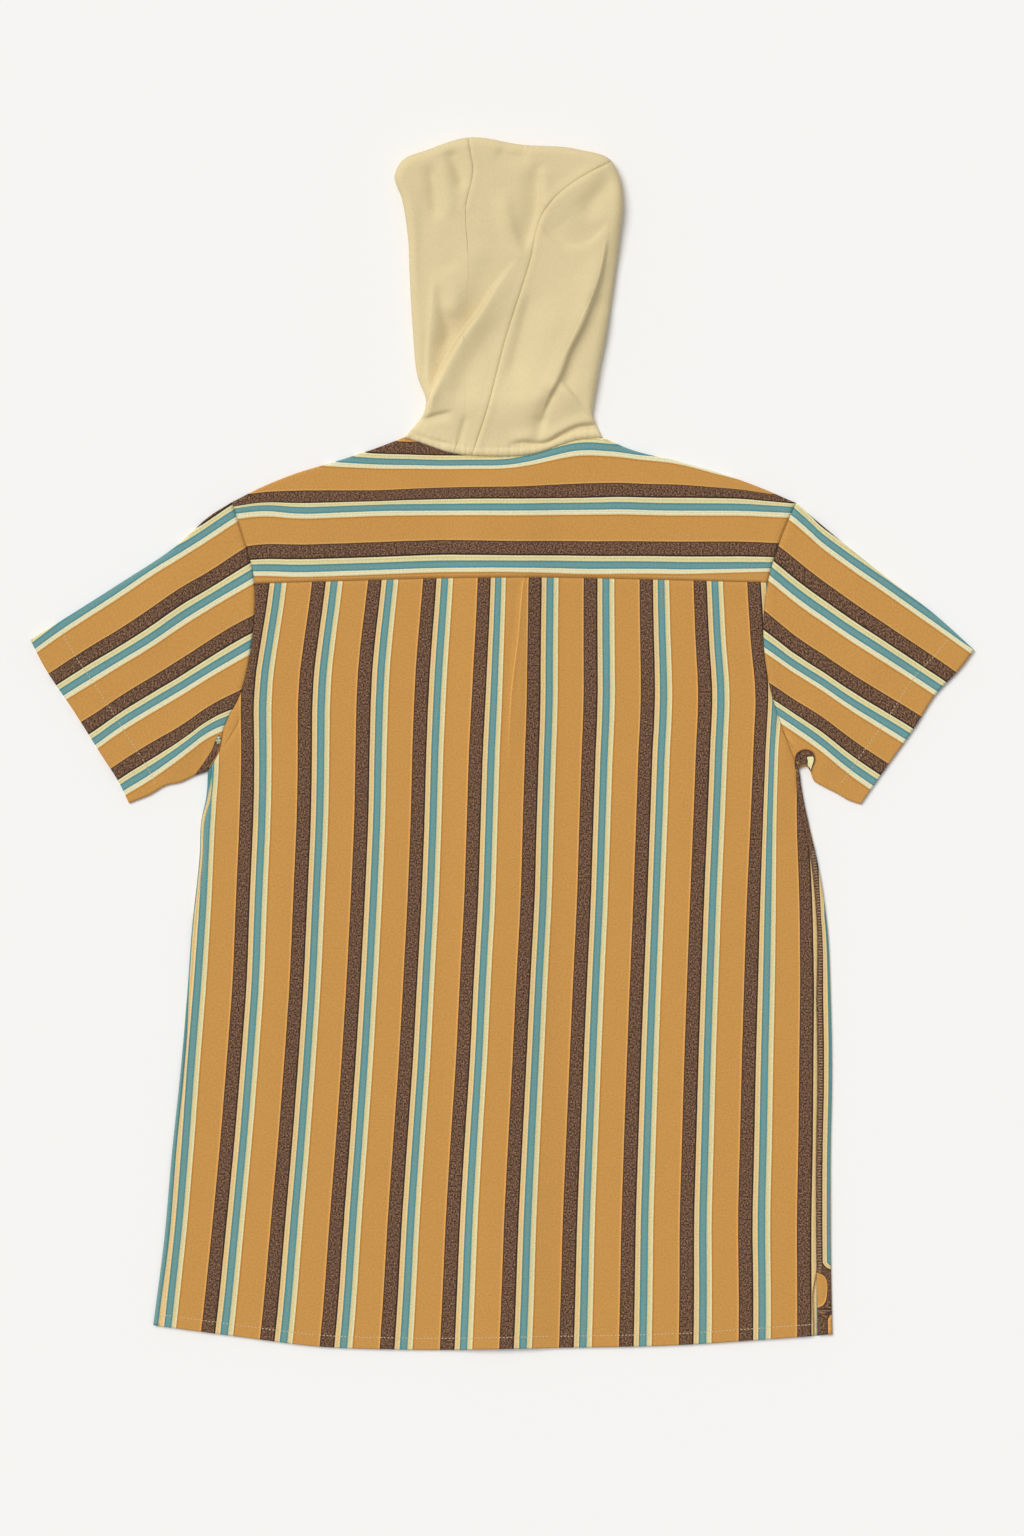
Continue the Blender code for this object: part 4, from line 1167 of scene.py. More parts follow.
YOKE_STRIPES = (  # levels of teal and brown stripes in turn, from the top down
    YokeStripeRow(-231.9, 244.5, 208.8, 203.6, 163.6, 152.5),
    YokeStripeRow(-208.4, 247.1, 213.3, 206.5, 167.2, 153.2),
    YokeStripeRow(-175.3, 249.7, 214.3, 202.9, 167.0, 152.2),
    YokeStripeRow(-105.7, 245.3, 215.2, 205.8, 169.2, 154.2),
    YokeStripeRow(-88.3, 245.1, 216.5, 205.9, 170.1, 154.9),
    YokeStripeRow(-53.5, 244.0, 218.4, 205.8, 171.5, 155.9),
    YokeStripeRow(-18.7, 244.2, 219.2, 206.0, 170.9, 156.1),
    YokeStripeRow(-1.3, 244.0, 219.2, 206.0, 170.5, 156.2),
    YokeStripeRow(16.1, 246.3, 219.2, 206.0, 170.2, 156.0),
    YokeStripeRow(33.5, 250.5, 219.3, 206.2, 170.3, 156.1),
    YokeStripeRow(42.2, 253.1, 219.4, 206.5, 170.3, 156.0),
    YokeStripeRow(50.9, 255.7, 219.4, 206.6, 170.2, 155.9),
    YokeStripeRow(59.6, 257.9, 219.4, 206.5, 170.0, 155.8),
    YokeStripeRow(68.3, 259.3, 219.7, 206.8, 169.9, 155.6),
    YokeStripeRow(85.7, 258.5, 220.2, 206.9, 169.7, 155.4),
    YokeStripeRow(103.1, 256.8, 221.0, 207.4, 169.9, 155.5),
    YokeStripeRow(120.5, 253.6, 220.4, 206.7, 169.8, 155.4),
    YokeStripeRow(138, 252.0, 220.3, 206.1, 169.8, 155.2),
    YokeStripeRow(155.3, 248.7, 220.6, 206.0, 169.5, 154.6),
    YokeStripeRow(207.5, 231.0, 219.2, 205.9, 169.8, 154.7),
    YokeStripeRow(251, 220.0, 213.2, 204.0, 167.9, 155.0),
)
LEFT_SLEEVE_STRIPES = (  # levels of teal and brown stripes in turn, from the top down
    SleeveStripeRow(-410.2, 83.4, 43.5, 27.0, -15.7, -32.2, -74.8, -91.3),
    SleeveStripeRow(-384.1, 102.7, 60.9, 44.3, 1.7, -14.8, -56.5, -73.1),
    SleeveStripeRow(-358, 119.6, 77.7, 60.7, 16.0, -0.3, -40.9, -57.4),
    SleeveStripeRow(-331.9, 136.6, 92.7, 76.3, 34.8, 18.9, -22.6, -38.3),
    SleeveStripeRow(-305.8, 154.9, 110.0, 91.9, 50.4, 34.7, -6.2, -22.9),
    SleeveStripeRow(-279.7, 169.9, 129.2, 110.6, 65.9, 50.1, 8.0, -4.3),
    SleeveStripeRow(-253.6, 186.7, 142.9, 126.6, 83.3, 66.2, 27.6, 16.3),
    SleeveStripeRow(-236.2, 198.8, 155.0, 136.7, 94.4, 76.4, 35.6, 21.9),
    SleeveStripeRow(-214.5, 211.4, 168.9, 149.5, 105.4, 89.6, 46.1, 32.2),
)
RIGHT_SLEEVE_STRIPES = (  # levels of teal and brown stripes in turn, from the top down
    SleeveStripeRow(242.3, 208.8, 162.7, 142.7, 96.1, 77.2, 40.0, 27.0),
    SleeveStripeRow(259.7, 198.4, 148.2, 128.2, 81.6, 64.8, 28.1, 15.0),
    SleeveStripeRow(270.1, 185.3, 140.2, 121.3, 76.2, 59.3, 23.0, 8.3),
    SleeveStripeRow(285.8, 173.4, 129.4, 110.2, 65.5, 48.6, 11.7, -4.7),
    SleeveStripeRow(303.2, 160.5, 116.6, 98.3, 53.6, 36.6, -2.4, -19.3),
    SleeveStripeRow(329.3, 142.6, 99.2, 81.7, 37.7, 21.0, -20.1, -36.9),
    SleeveStripeRow(355.4, 123.9, 82.0, 64.5, 22.5, 4.9, -37.4, -53.1),
    SleeveStripeRow(381.5, 105.4, 64.7, 47.3, 5.2, -12.2, -53.9, -69.6),
    SleeveStripeRow(411.9, 83.5, 43.5, 27.0, -15.7, -33.1, -74.8, -90.5),
)
# The front's cloth outside the side seams
LEFT_STRIP = (
    StripRow(-530, 0.28, 0.42),
    StripRow(-480, 0.3, 0.42),
    StripRow(-400, 0.34, 0.4),
    StripRow(-260, 0.33, 0.37),
    StripRow(-200, 0.29, 0.35),
    StripRow(-60, 0.3, 0.34),
    StripRow(-23, 0.33, 0.345),
)
RIGHT_STRIP = (
    StripRow(-530, 0.15, -0.05),
    StripRow(-500, 0.14, -0.05),
    StripRow(-493, 0.06, 0.05),
    StripRow(-482, -0.2, 0.09),
    StripRow(-470, -0.4, 0.12),
    StripRow(-464, -0.2, 0.13),
    StripRow(-458, 0.1, 0.2),
    StripRow(-453, 0.12, 0.4),
    StripRow(-150, 0.12, 0.37),
    StripRow(-90, 0.1, 0.2),
    StripRow(-23, 0.1, 0.2),
)
REPEAT = 50.0  # the stripes' repeat
BROWN_MIDDLE = 0.1225  # parts of a repeat, from a brown stripe's left or upper edge
TEAL_MIDDLE = 0.392
BODY_MARKS = (TEAL_MIDDLE - 1 - BROWN_MIDDLE, 0, 2, 4, 5, 7, 9, 10)  # which stripe each column stands for
UNDERARM_STRIP = Line((Place(-247, 1.5), Place(-250.6, -8), Place(-257, -18), Place(-265, -29)))
UNDERARM_STRIP_REACH = 2.9
UNDERARM_SPOT = (-246.4, 4)  # a corner of a pale stripe
UNDERARM_SPOT_REACH = 2.4
UNDERARM_EDGE = 0.6  # how softly both end
UNDERARM_FROM = 3.5  # in repeats, where both may show
LAST_OCHRE = 3.96  # in repeats, places in the sleeves' last stripes
LAST_BROWN = 4.0
LAST_PALE = 4.53
EASED_STEPS = (-1, -0.4, 0.4, 1)  # where a rounded table is read, as parts of its reach



def eased(at: Array, marks: Sequence[float], values: Sequence[float], reach: float = 9.0) -> Array:
    """Reads a table between and beyond its rows, with its corners rounded.

    Args:
        at: where to read it.
        marks: its rising first column.
        values: the column to read.
        reach: how far each corner is rounded.

    Returns:
        the values.
    """
    total = np.zeros(np.shape(at))
    first = (values[1] - values[0]) / (marks[1] - marks[0])
    last = (values[-1] - values[-2]) / (marks[-1] - marks[-2])
    for step in EASED_STEPS:
        spot = at + step * reach
        part = np.interp(spot, marks, values)
        part += np.minimum(spot - marks[0], 0) * first + np.maximum(spot - marks[-1], 0) * last
        total += part / len(EASED_STEPS)
    return total


def body_stripes(plan: Array) -> Array:
    """The stripes' places on the body, in repeats from the first brown stripe."""
    rows = BODY_STRIPES[::-1]
    ys = [row.y for row in rows]
    levels = [
        eased(plan[..., 1], ys, [row[i] for row in rows], 18) for i in range(1, len(BODY_MARKS) + 1)
    ]
    x = plan[..., 0]
    u = None
    for i in range(len(BODY_MARKS) - 1):
        step = (levels[i + 1] - levels[i]) / (BODY_MARKS[i + 1] - BODY_MARKS[i])
        here = BODY_MARKS[i] + (x - levels[i]) / step
        u = here if u is None else np.where(x > levels[i], here, u)
    return np.stack([u + BROWN_MIDDLE, plan[..., 1] * MM], axis=-1)


def crossing_stripes(plan: Array, rows: Sequence[NamedTuple], marks: Sequence[float]) -> Array:
    """The stripes' places where they run across the shirt.

    Args:
        plan: the places on the table.
        rows: levels of some stripes, at several distances across.
        marks: which part of a repeat each of those stripes stands for.

    Returns:
        the place across the stripes in repeats, and along them in metres.
    """
    xs = [row[0] for row in rows]
    levels = [eased(plan[..., 0], xs, [row[i + 1] for row in rows]) for i in range(len(marks))]
    y = plan[..., 1]
    step = (levels[0] - levels[-1]) / (marks[-1] - marks[0])
    u = marks[0] + (levels[0] - y) / step
    for i in range(len(marks) - 1):
        inner = (y <= levels[i]) & (y >= levels[i + 1])
        share = (levels[i] - y) / (levels[i] - levels[i + 1])
        u = np.where(inner, marks[i] + (marks[i + 1] - marks[i]) * share, u)
    u = np.where(y < levels[-1], marks[-1] + (levels[-1] - y) / step, u)
    return np.stack([u, plan[..., 0] * MM], axis=-1)


def yoke_stripes(plan: Array) -> Array:
    """The stripes' places on the yoke."""
    marks = (TEAL_MIDDLE - 1, BROWN_MIDDLE, TEAL_MIDDLE, BROWN_MIDDLE + 1, TEAL_MIDDLE + 1)
    return crossing_stripes(plan, YOKE_STRIPES, marks)


def sleeve_stripes(half: Half) -> Callable[[Array], Array]:
    """A function for the stripes' places on a sleeve.

    Args:
        half: the sleeve's half of the shirt.

    Returns:
        the function.
    """
    rows = LEFT_SLEEVE_STRIPES if half.name == "left" else RIGHT_SLEEVE_STRIPES
    marks = [TEAL_MIDDLE]
    for turn in (1, 2, 3):
        marks += [BROWN_MIDDLE + turn, TEAL_MIDDLE + turn]

    def stripes(plan: Array) -> Array:
        """The stripes' places on this sleeve."""
        places = crossing_stripes(plan, rows, marks)
        if half.name == "right":  # its last brown stripe begins under the fold
            places[..., 0] = np.minimum(places[..., 0], LAST_OCHRE)
        else:  # the lower side's brown stripe shows beside the armpit, and a pale corner
            off, _ = UNDERARM_STRIP.away(plan)
            shown = smooth_step((UNDERARM_STRIP_REACH - np.abs(off)) / UNDERARM_EDGE + 0.5)
            shown = shown * (places[..., 0] > UNDERARM_FROM)
            brown = LAST_BROWN + (1 - off / UNDERARM_STRIP_REACH) * BROWN_MIDDLE
            places[..., 0] += shown * (brown - places[..., 0])
            spot = UNDERARM_SPOT_REACH - np.hypot(*np.moveaxis(plan - UNDERARM_SPOT, -1, 0))
            places[..., 0] += smooth_step(spot / UNDERARM_EDGE + 0.5) * (LAST_PALE - places[..., 0])
        return places

    return stripes


def side_strip_stripes(half: Half) -> Callable[[Array], Array]:
    """A function for the stripes' places on the front's cloth outside the side seam.

    Args:
        half: the half of the shirt.

    Returns:
        the function.
    """
    rows = LEFT_STRIP if half.name == "left" else RIGHT_STRIP
    ys = [row.y for row in rows]
    insets = [row.y for row in SIDE_SEAMS], [getattr(row, half.name) for row in SIDE_SEAMS]

    def stripes(plan: Array) -> Array:
        """The stripes' places on this strip."""
        off, _ = half.side.away(plan)
        y = plan[..., 1]
        out = 1 - np.clip(np.abs(off) / np.interp(y, *insets), 0, 1)
        at_seam = np.interp(y, ys, [row.at_seam for row in rows])
        at_edge = np.interp(y, ys, [row.at_edge for row in rows])
        return np.stack([at_seam + (at_edge - at_seam) * out, y * MM], axis=-1)

    return stripes


def plain(plan: Array) -> Array:
    """The places on plain cloth, in metres."""
    return plan * MM



# Making the sewn pieces


@dataclass
class ClothPiece:
    """One sewn piece of cloth, which stands for the node of the same name."""

    name: str
    slot: str
    wall: float
    flat: tuple[float, float]  # its cut's width and length, in metres
    area: float  # its cut's area, in square metres
    pattern: Callable[[Array], Array]
    rests_on: tuple[str, ...] = ()
    held: str = "laid"
    gap: float = SEAM_GAP
    lower_lift: Callable[[Array], Array] | None = None
    patches: list[Patch] = field(default_factory=list)

    def sew(self, relief: Relief) -> bpy.types.Object:
        """Joins the patches, draws them back from the seams and thickens them.

        Args:
            relief: the garment's heights.

        Returns:
            the piece.
        """
        bm = bmesh.new()
        layers = [bm.loops.layers.uv.new(name) for name in (UV_NAME, CREASE_NAME)]
        for patch in self.patches:
            self.lay(bm, layers, patch, relief)
        bmesh.ops.remove_doubles(bm, verts=bm.verts, dist=MERGE_REACH * MM)
        bmesh.ops.recalc_face_normals(bm, faces=bm.faces)
        bm.normal_update()
        draw_back(bm, self.gap / 2 * MM)
        for edge in bm.edges:
            if edge.is_boundary and self.hides_edge(edge):
                edge.smooth = False
        piece = to_object(bm, self.name)
        thicken = piece.modifiers.new("wall", "SOLIDIFY")
        thicken.thickness = self.wall * MM
        thicken.offset = 0
        thicken.use_quality_normals = True
        return piece

    @staticmethod
    def hides_edge(edge: bmesh.types.BMEdge) -> bool:
        """Tells whether an open edge lies where the hood's left seam sinks into the folds."""
        place = edge.verts[0].co / MM
        level = HIDDEN_SEAM_BOTTOM < place.y < HIDDEN_SEAM_TOP
        return level and abs(place.x - HIDDEN_SEAM_X) < HIDDEN_SEAM_REACH

    def lay(self, bm: bmesh.types.BMesh, layers: Sequence[object], patch: Patch, relief: Relief) -> None:
        """Lays out one patch as a grid with its heights and its pattern.

        Args:
            bm: the piece so far.
            layers: its layers of pattern places and of the creases' painted highlight and shade.
            patch: the patch.
            relief: the garment's heights.
        """
        rows, columns = patch.plan.shape[:2]
        made = bmesh.ops.create_grid(bm, x_segments=columns - 1, y_segments=rows - 1, size=1)
        height = relief.heights(patch, self.wall, self.lower_lift)
        pattern = (patch.pattern or self.pattern)(patch.plan).reshape(-1, 2)
        plan = opened(patch.plan) if self.name == "sleeve_right" else patch.plan
        places = as_seen(plan, height).reshape(-1, 3) * MM
        # where the creases' highlight and shade are painted into the colour, only on the upper side
        creases = relief.creases(patch.plan).reshape(-1, 2)
        creases[:, 1] *= patch.side is Side.UPPER
        marks = {}
        for vert, place, *mark in zip(made["verts"], places, pattern, creases):
            vert.co = place
            marks[vert] = mark
        faces = {face for vert in made["verts"] for face in vert.link_faces}
        for face in faces:
            for loop in face.loops:
                for layer, mark in zip(layers, marks[loop.vert]):
                    loop[layer].uv = mark

    def dress(self, relief: Relief, finish: "Finish", trims: Sequence[bpy.types.Object] = ()) -> None:
        """Args:
            relief: the garment's heights.
            finish: its finish.
            trims: its stitches; not used.
        """
        piece = self.sew(relief)
        piece.data.materials.append(finish.material())
        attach(piece, "root")
        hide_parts(self.name)
        LOG.info("%s: %d faces", self.name, len(piece.data.polygons))


def opened(plan: Array) -> Array:
    """Draws cloth up from the right armpit's opening, so that the floor shows there.

    Args:
        plan: places in the plan.

    Returns:
        where they come to lie in it.
    """
    xs, lifts = np.transpose(ARMPIT_LIFT)
    fade = np.clip((ARMPIT_LIFT_TOP - plan[..., 1]) / ARMPIT_LIFT_REACH, 0, 1)
    rise = np.interp(plan[..., 0], xs, lifts) * fade
    return np.stack([plan[..., 0], plan[..., 1] + rise], axis=-1)


def as_seen(plan: Array, height: Array) -> Array:
    """Where cloth lies that the photo's camera sees at a place of the table's plan.

    Args:
        plan: the places in the plan.
        height: the cloth's height at each.

    Returns:
        the cloth's places.
    """
    drawn_in = (plan - VIEW_CENTER) * (height / VIEW_DISTANCE)[..., None]
    return np.concatenate([plan - drawn_in, height[..., None]], axis=-1)


def to_object(bm: bmesh.types.BMesh, name: str) -> bpy.types.Object:
    """Turns a finished bmesh into a smooth object of the scene.

    Args:
        bm: the bmesh, which is freed.
        name: the object's name.

    Returns:
        the object.
    """
    mesh = bpy.data.meshes.new(name)
    bm.to_mesh(mesh)
    bm.free()
    mesh.shade_smooth()
    made = bpy.data.objects.new(name, mesh)
    bpy.context.scene.collection.objects.link(made)
    return made


def draw_back(bm: bmesh.types.BMesh, distance: float) -> None:
    """Moves each open edge of the cloth inwards, along the cloth.

    Args:
        bm: the cloth.
        distance: how far.
    """
    moves = {}
    for vert in bm.verts:
        edges = [edge for edge in vert.link_edges if edge.is_boundary]
        if len(edges) != 2:
            continue
        ways = []
        for edge in edges:
            face = edge.link_faces[0]
            along = (edge.verts[1].co - edge.verts[0].co).normalized()
            way = face.normal.cross(along).normalized()
            if way.dot(face.calc_center_median() - edge.verts[0].co) < 0:
                way.negate()
            ways.append(way)
        middle = (ways[0] + ways[1]).normalized()
        moves[vert] = middle * (distance / max(middle.dot(ways[0]), 0.5))
    for vert, move in moves.items():
        vert.co += move


def tighten(plan: Array, shares: Sequence[float] = (0.3, 0.6)) -> Array:
    """The same places, with more rows and columns close to the four edges.

    Args:
        plan: rows of places.
        shares: where the added rows lie within the first and the last step.

    Returns:
        the new rows of places.
    """
    for _ in range(2):
        near = [plan[0] + (plan[1] - plan[0]) * share for share in shares]
        far = [plan[-1] + (plan[-2] - plan[-1]) * share for share in reversed(shares)]
        plan = np.stack([plan[0], *near, *plan[1:-1], *far, plan[-1]])
        plan = plan.transpose(1, 0, 2)
    return plan


@dataclass
class Shirt:
    """The striped pieces: back, yoke, sleeves and fronts."""

    back_area: float = 0.349
    front_area: float = 0.207
    yoke_area: float = 0.057
    sleeve_area: float = 0.056

    def yoke_top(self) -> Array:
        """The yoke's upper edge inside the folded shoulders, from left to right."""
        left = LEFT_HALF.shoulder_band()[0].plan[:, 0]
        right = RIGHT_HALF.shoulder_band()[0].plan[::-1, 0]
        neck = join(*[part[::2] for part in neck_seam_places()])
        neck[1:-1, 1] -= NECK_EASE
        return join(left, neck, right)

    def yoke_seam(self) -> Array:
        """The yoke seam, each place below one of the yoke's upper edge."""
        top = self.yoke_top()
        shares = (top[:, 0] - top[0][0]) / (top[-1][0] - top[0][0])
        places = YOKE_LINE.at(shares * YOKE_LINE.length)
        places[0] = LEFT_HALF.upper_armhole()[1][0]
        places[-1] = RIGHT_HALF.upper_armhole()[1][0]
        return places

    def back(self) -> ClothPiece:
        """The back, from the yoke seam to the hem."""
        top = self.yoke_seam()
        left = join(LEFT_HALF.side_seam(), LEFT_HALF.upper_armhole()[0])
        right = join(RIGHT_HALF.side_seam(VENT_WIDTH), RIGHT_HALF.upper_armhole()[0])
        shares = (top[:, 0] - top[0][0]) / (top[-1][0] - top[0][0])
        bottom = hem_places(left[0][0] + (right[0][0] - left[0][0]) * shares)
        bottom[0], bottom[-1] = left[0], right[0]
        patch = Patch(tighten(spread(bottom, top, left, right)), Side.UPPER)
        lies_on = ("front_left", "front_right")
        flat = (0.6, 0.68)
        return ClothPiece(
            "back_panel", "striped_cloth", CLOTH, flat, self.back_area, body_stripes, lies_on, patches=[patch]
        )

    def yoke(self) -> ClothPiece:
        """The yoke, turned over both shoulders."""
        patches = []
        for half in HALVES:
            upper, lower = half.shoulder_band()
            turned_over = spread(
                half.front_shoulder_seam(),
                lower.plan[:, 0],
                half.lower_armhole()[1],
                half.neckline_places()[0][::-1],
            )
            patches += [upper, lower, Patch(turned_over, Side.LOWER)]
        left, right = (half.upper_armhole()[1] for half in HALVES)
        patches.append(Patch(spread(self.yoke_seam(), self.yoke_top(), left, right), Side.UPPER))
        flat = (0.5, 0.17)
        lies_on = ("front_left", "front_right")
        return ClothPiece(
            "yoke", "striped_cloth", CLOTH, flat, self.yoke_area, yoke_stripes, lies_on, patches=patches
        )

    def sleeve(self, half: Half) -> ClothPiece:
        """One short sleeve, a flat tube.

        Args:
            half: its half of the shirt.

        Returns:
            the piece.
        """
        top_edge = half.sleeve_top.spots(SLEEVE_ROWS)
        under_edge = half.sleeve_under.spots(SLEEVE_ROWS)
        radii = np.full(SLEEVE_ROWS + 1, EDGE_RADIUS)
        cuff_way = unit(half.cuff.at(CHORD) - half.cuff.at(0))
        cuff_end = unit(half.cuff.at(half.cuff.length - CHORD) - half.cuff.at(half.cuff.length))
        top_ways = turned(ways_in(top_edge, half.inward), half.down_armhole, cuff_way, blend=SEAM_BLEND_ROWS)
        under_ways = ways_in(under_edge, -half.inward)
        under_ways = turned(under_ways, half.up_armhole, cuff_end, blend=SEAM_BLEND_ROWS)
        top_bands = edge_band(top_edge, top_ways, top_ways, radii)
        under_bands = edge_band(under_edge, under_ways, under_ways, radii, first_ease=CORNER_EASE)
        length = half.armhole.length
        pit = half.armhole.spots(2, length - EDGE_RADIUS, length - half.seam_inset)
        patches = top_bands + under_bands
        for band, parts in enumerate(((pit,) + half.upper_armhole(), half.lower_armhole())):
            side = (Side.UPPER, Side.LOWER)[band]
            armhole = join(*parts)[::-1]
            steps = np.hypot(*np.diff(armhole, axis=0).T)
            shares = np.concatenate([[0.0], np.cumsum(steps)]) / steps.sum()
            cuff = half.cuff.at(EDGE_RADIUS + shares * (half.cuff.length - 2 * EDGE_RADIUS))
            top_line, under_line = top_bands[band].plan[:, 0], under_bands[band].plan[:, 0]
            cuff[0], cuff[-1] = top_line[-1], under_line[-1]
            patches.append(Patch(spread(armhole, cuff, top_line, under_line), side))
        return ClothPiece(
            "sleeve_" + half.name,
            "striped_cloth",
            CLOTH,
            (0.44, 0.22),
            self.sleeve_area,
            sleeve_stripes(half),
            patches=patches,
        )

    def front(self, half: Half, lift: float) -> ClothPiece:
        """One front, hidden below, with its side edge turned up to the side seam.

        Args:
            half: its half of the shirt.
            lift: how high its buttoned band lies.

        Returns:
            the piece.
        """
        outline, ways = half.side_places()
        radii = np.full(len(outline), EDGE_RADIUS)
        upper, lower = edge_band(outline, ways, ways, radii, last_ease=CORNER_EASE)
        seam = half.side_seam()
        strip = [seam + (upper.plan[:, 0] - seam) * share for share in STRIP_SHARES]
        upper = Patch(np.concatenate([np.stack(strip, axis=1), upper.plan], axis=1), Side.UPPER)
        upper.pattern = side_strip_stripes(half)
        armhole, _ = half.lower_armhole()
        left = join(lower.plan[:, 0], armhole)
        shoulder = half.front_shoulder_seam()
        neck = half.neckline_places()[1]
        band_edge = CENTER_X + half.inward * BAND_HALF_WIDTH
        band_xs = np.linspace(neck[-1][0], band_edge, BAND_COLUMNS + 1)
        band_top = np.stack([band_xs, np.full(len(band_xs), neck[-1][1])], axis=-1)
        top = join(shoulder, neck[::4] if (len(neck) - 1) % 4 == 0 else neck, band_top)
        hem_start = left[0][0]
        hem_xs = np.interp(top[:, 0] * half.inward, top[[0, -1], 0] * half.inward, [hem_start, band_edge])
        bottom = hem_places(hem_xs)
        bottom[0] = left[0]
        shares = (left[:, 1] - left[0][1]) / (left[-1][1] - left[0][1])
        right = bottom[-1] + (top[-1] - bottom[-1]) * shares[:, None]
        body = Patch(spread(bottom, top, left, right), Side.LOWER)
        return ClothPiece(
            "front_" + half.name,
            "striped_cloth",
            CLOTH,
            (0.34, 0.77),
            self.front_area,
            body_stripes,
            lower_lift=lambda plan: band_lift(plan, -half.inward, lift),
            patches=[upper, lower, body],
        )


class HoodEdge:
    """The hood's folded outline from the left neck point over the crown to the right one."""

    def __init__(self) -> None:
        """Lays out the cloth that turns round the outline, in five stretches."""
        marks = [0.0]
        for place in (LEFT_CORNER, LEFT_HOOD_SEAM[-1], RIGHT_HOOD_SEAM[-1], RIGHT_CORNER):
            marks.append(HOOD_LINE.nearest(place))
        marks.append(HOOD_LINE.length)
        counts = (HOOD_ROWS, LEFT_HOOD_COLUMNS, CENTER_HOOD_COLUMNS, RIGHT_HOOD_COLUMNS, HOOD_ROWS)
        self.starts = np.concatenate([[0], np.cumsum(counts)])
        crowding = (1, 1, CROWN_CROWDING, 1, 1)
        stretches = zip(counts, marks, marks[1:], crowding)
        outline = join(*[HOOD_LINE.spots(*stretch) for stretch in stretches])
        ways = ways_in(outline, -1)
        seam_top = unit(np.array(RIGHT_HOOD_SEAM[-2]) - RIGHT_HOOD_SEAM[-1])
        corner = self.starts[3]
        for index in range(1 - SEAM_SWING_ROWS, SEAM_SWING_ROWS):  # swing towards the right seam's end
            share = 1 - abs(index) / SEAM_SWING_ROWS
            way = ways[corner + index]
            ways[corner + index] = unit(way * (2 - share) + (way + seam_top) * share)
        upper, lower = (
            turned(ways, *(half.way_from_neck(neck) for half in HALVES), blend=HOOD_BLEND_ROWS)
            for neck in (NECK_LINE, NECKLINE)
        )
        rise = smooth_step((outline[:, 1] - outline[0][1]) / HOOD_RISE_LENGTH)
        radii = EDGE_RADIUS + (HOOD_EDGE_RADIUS - EDGE_RADIUS) * rise
        self.upper, self.lower = edge_band(outline, upper, lower, radii)

    def bands(self, first: int, last: int) -> list[Patch]:
        """The patches round the edge, from the start of one stretch to the start of another."""
        rows = slice(self.starts[first], self.starts[last] + 1)
        return [Patch(band.plan[rows], band.side) for band in (self.upper, self.lower)]

    def inner(self, stretch: int, side: Side) -> Array:
        """The inner edge of one stretch, on one side."""
        band = self.upper if side is Side.UPPER else self.lower
        return band.plan[self.starts[stretch] : self.starts[stretch + 1] + 1, 0]


def seam_to(places: Sequence[Place], end: Array, count: int) -> Array:
    """A seam line that ends exactly at a given place.

    Args:
        places: the seam's table.
        end: its last place.
        count: the number of steps.

    Returns:
        its places.
    """
    spots = Line(list(places[:-1]) + [tuple(end)]).spots(count)
    spots[-1] = end
    return spots


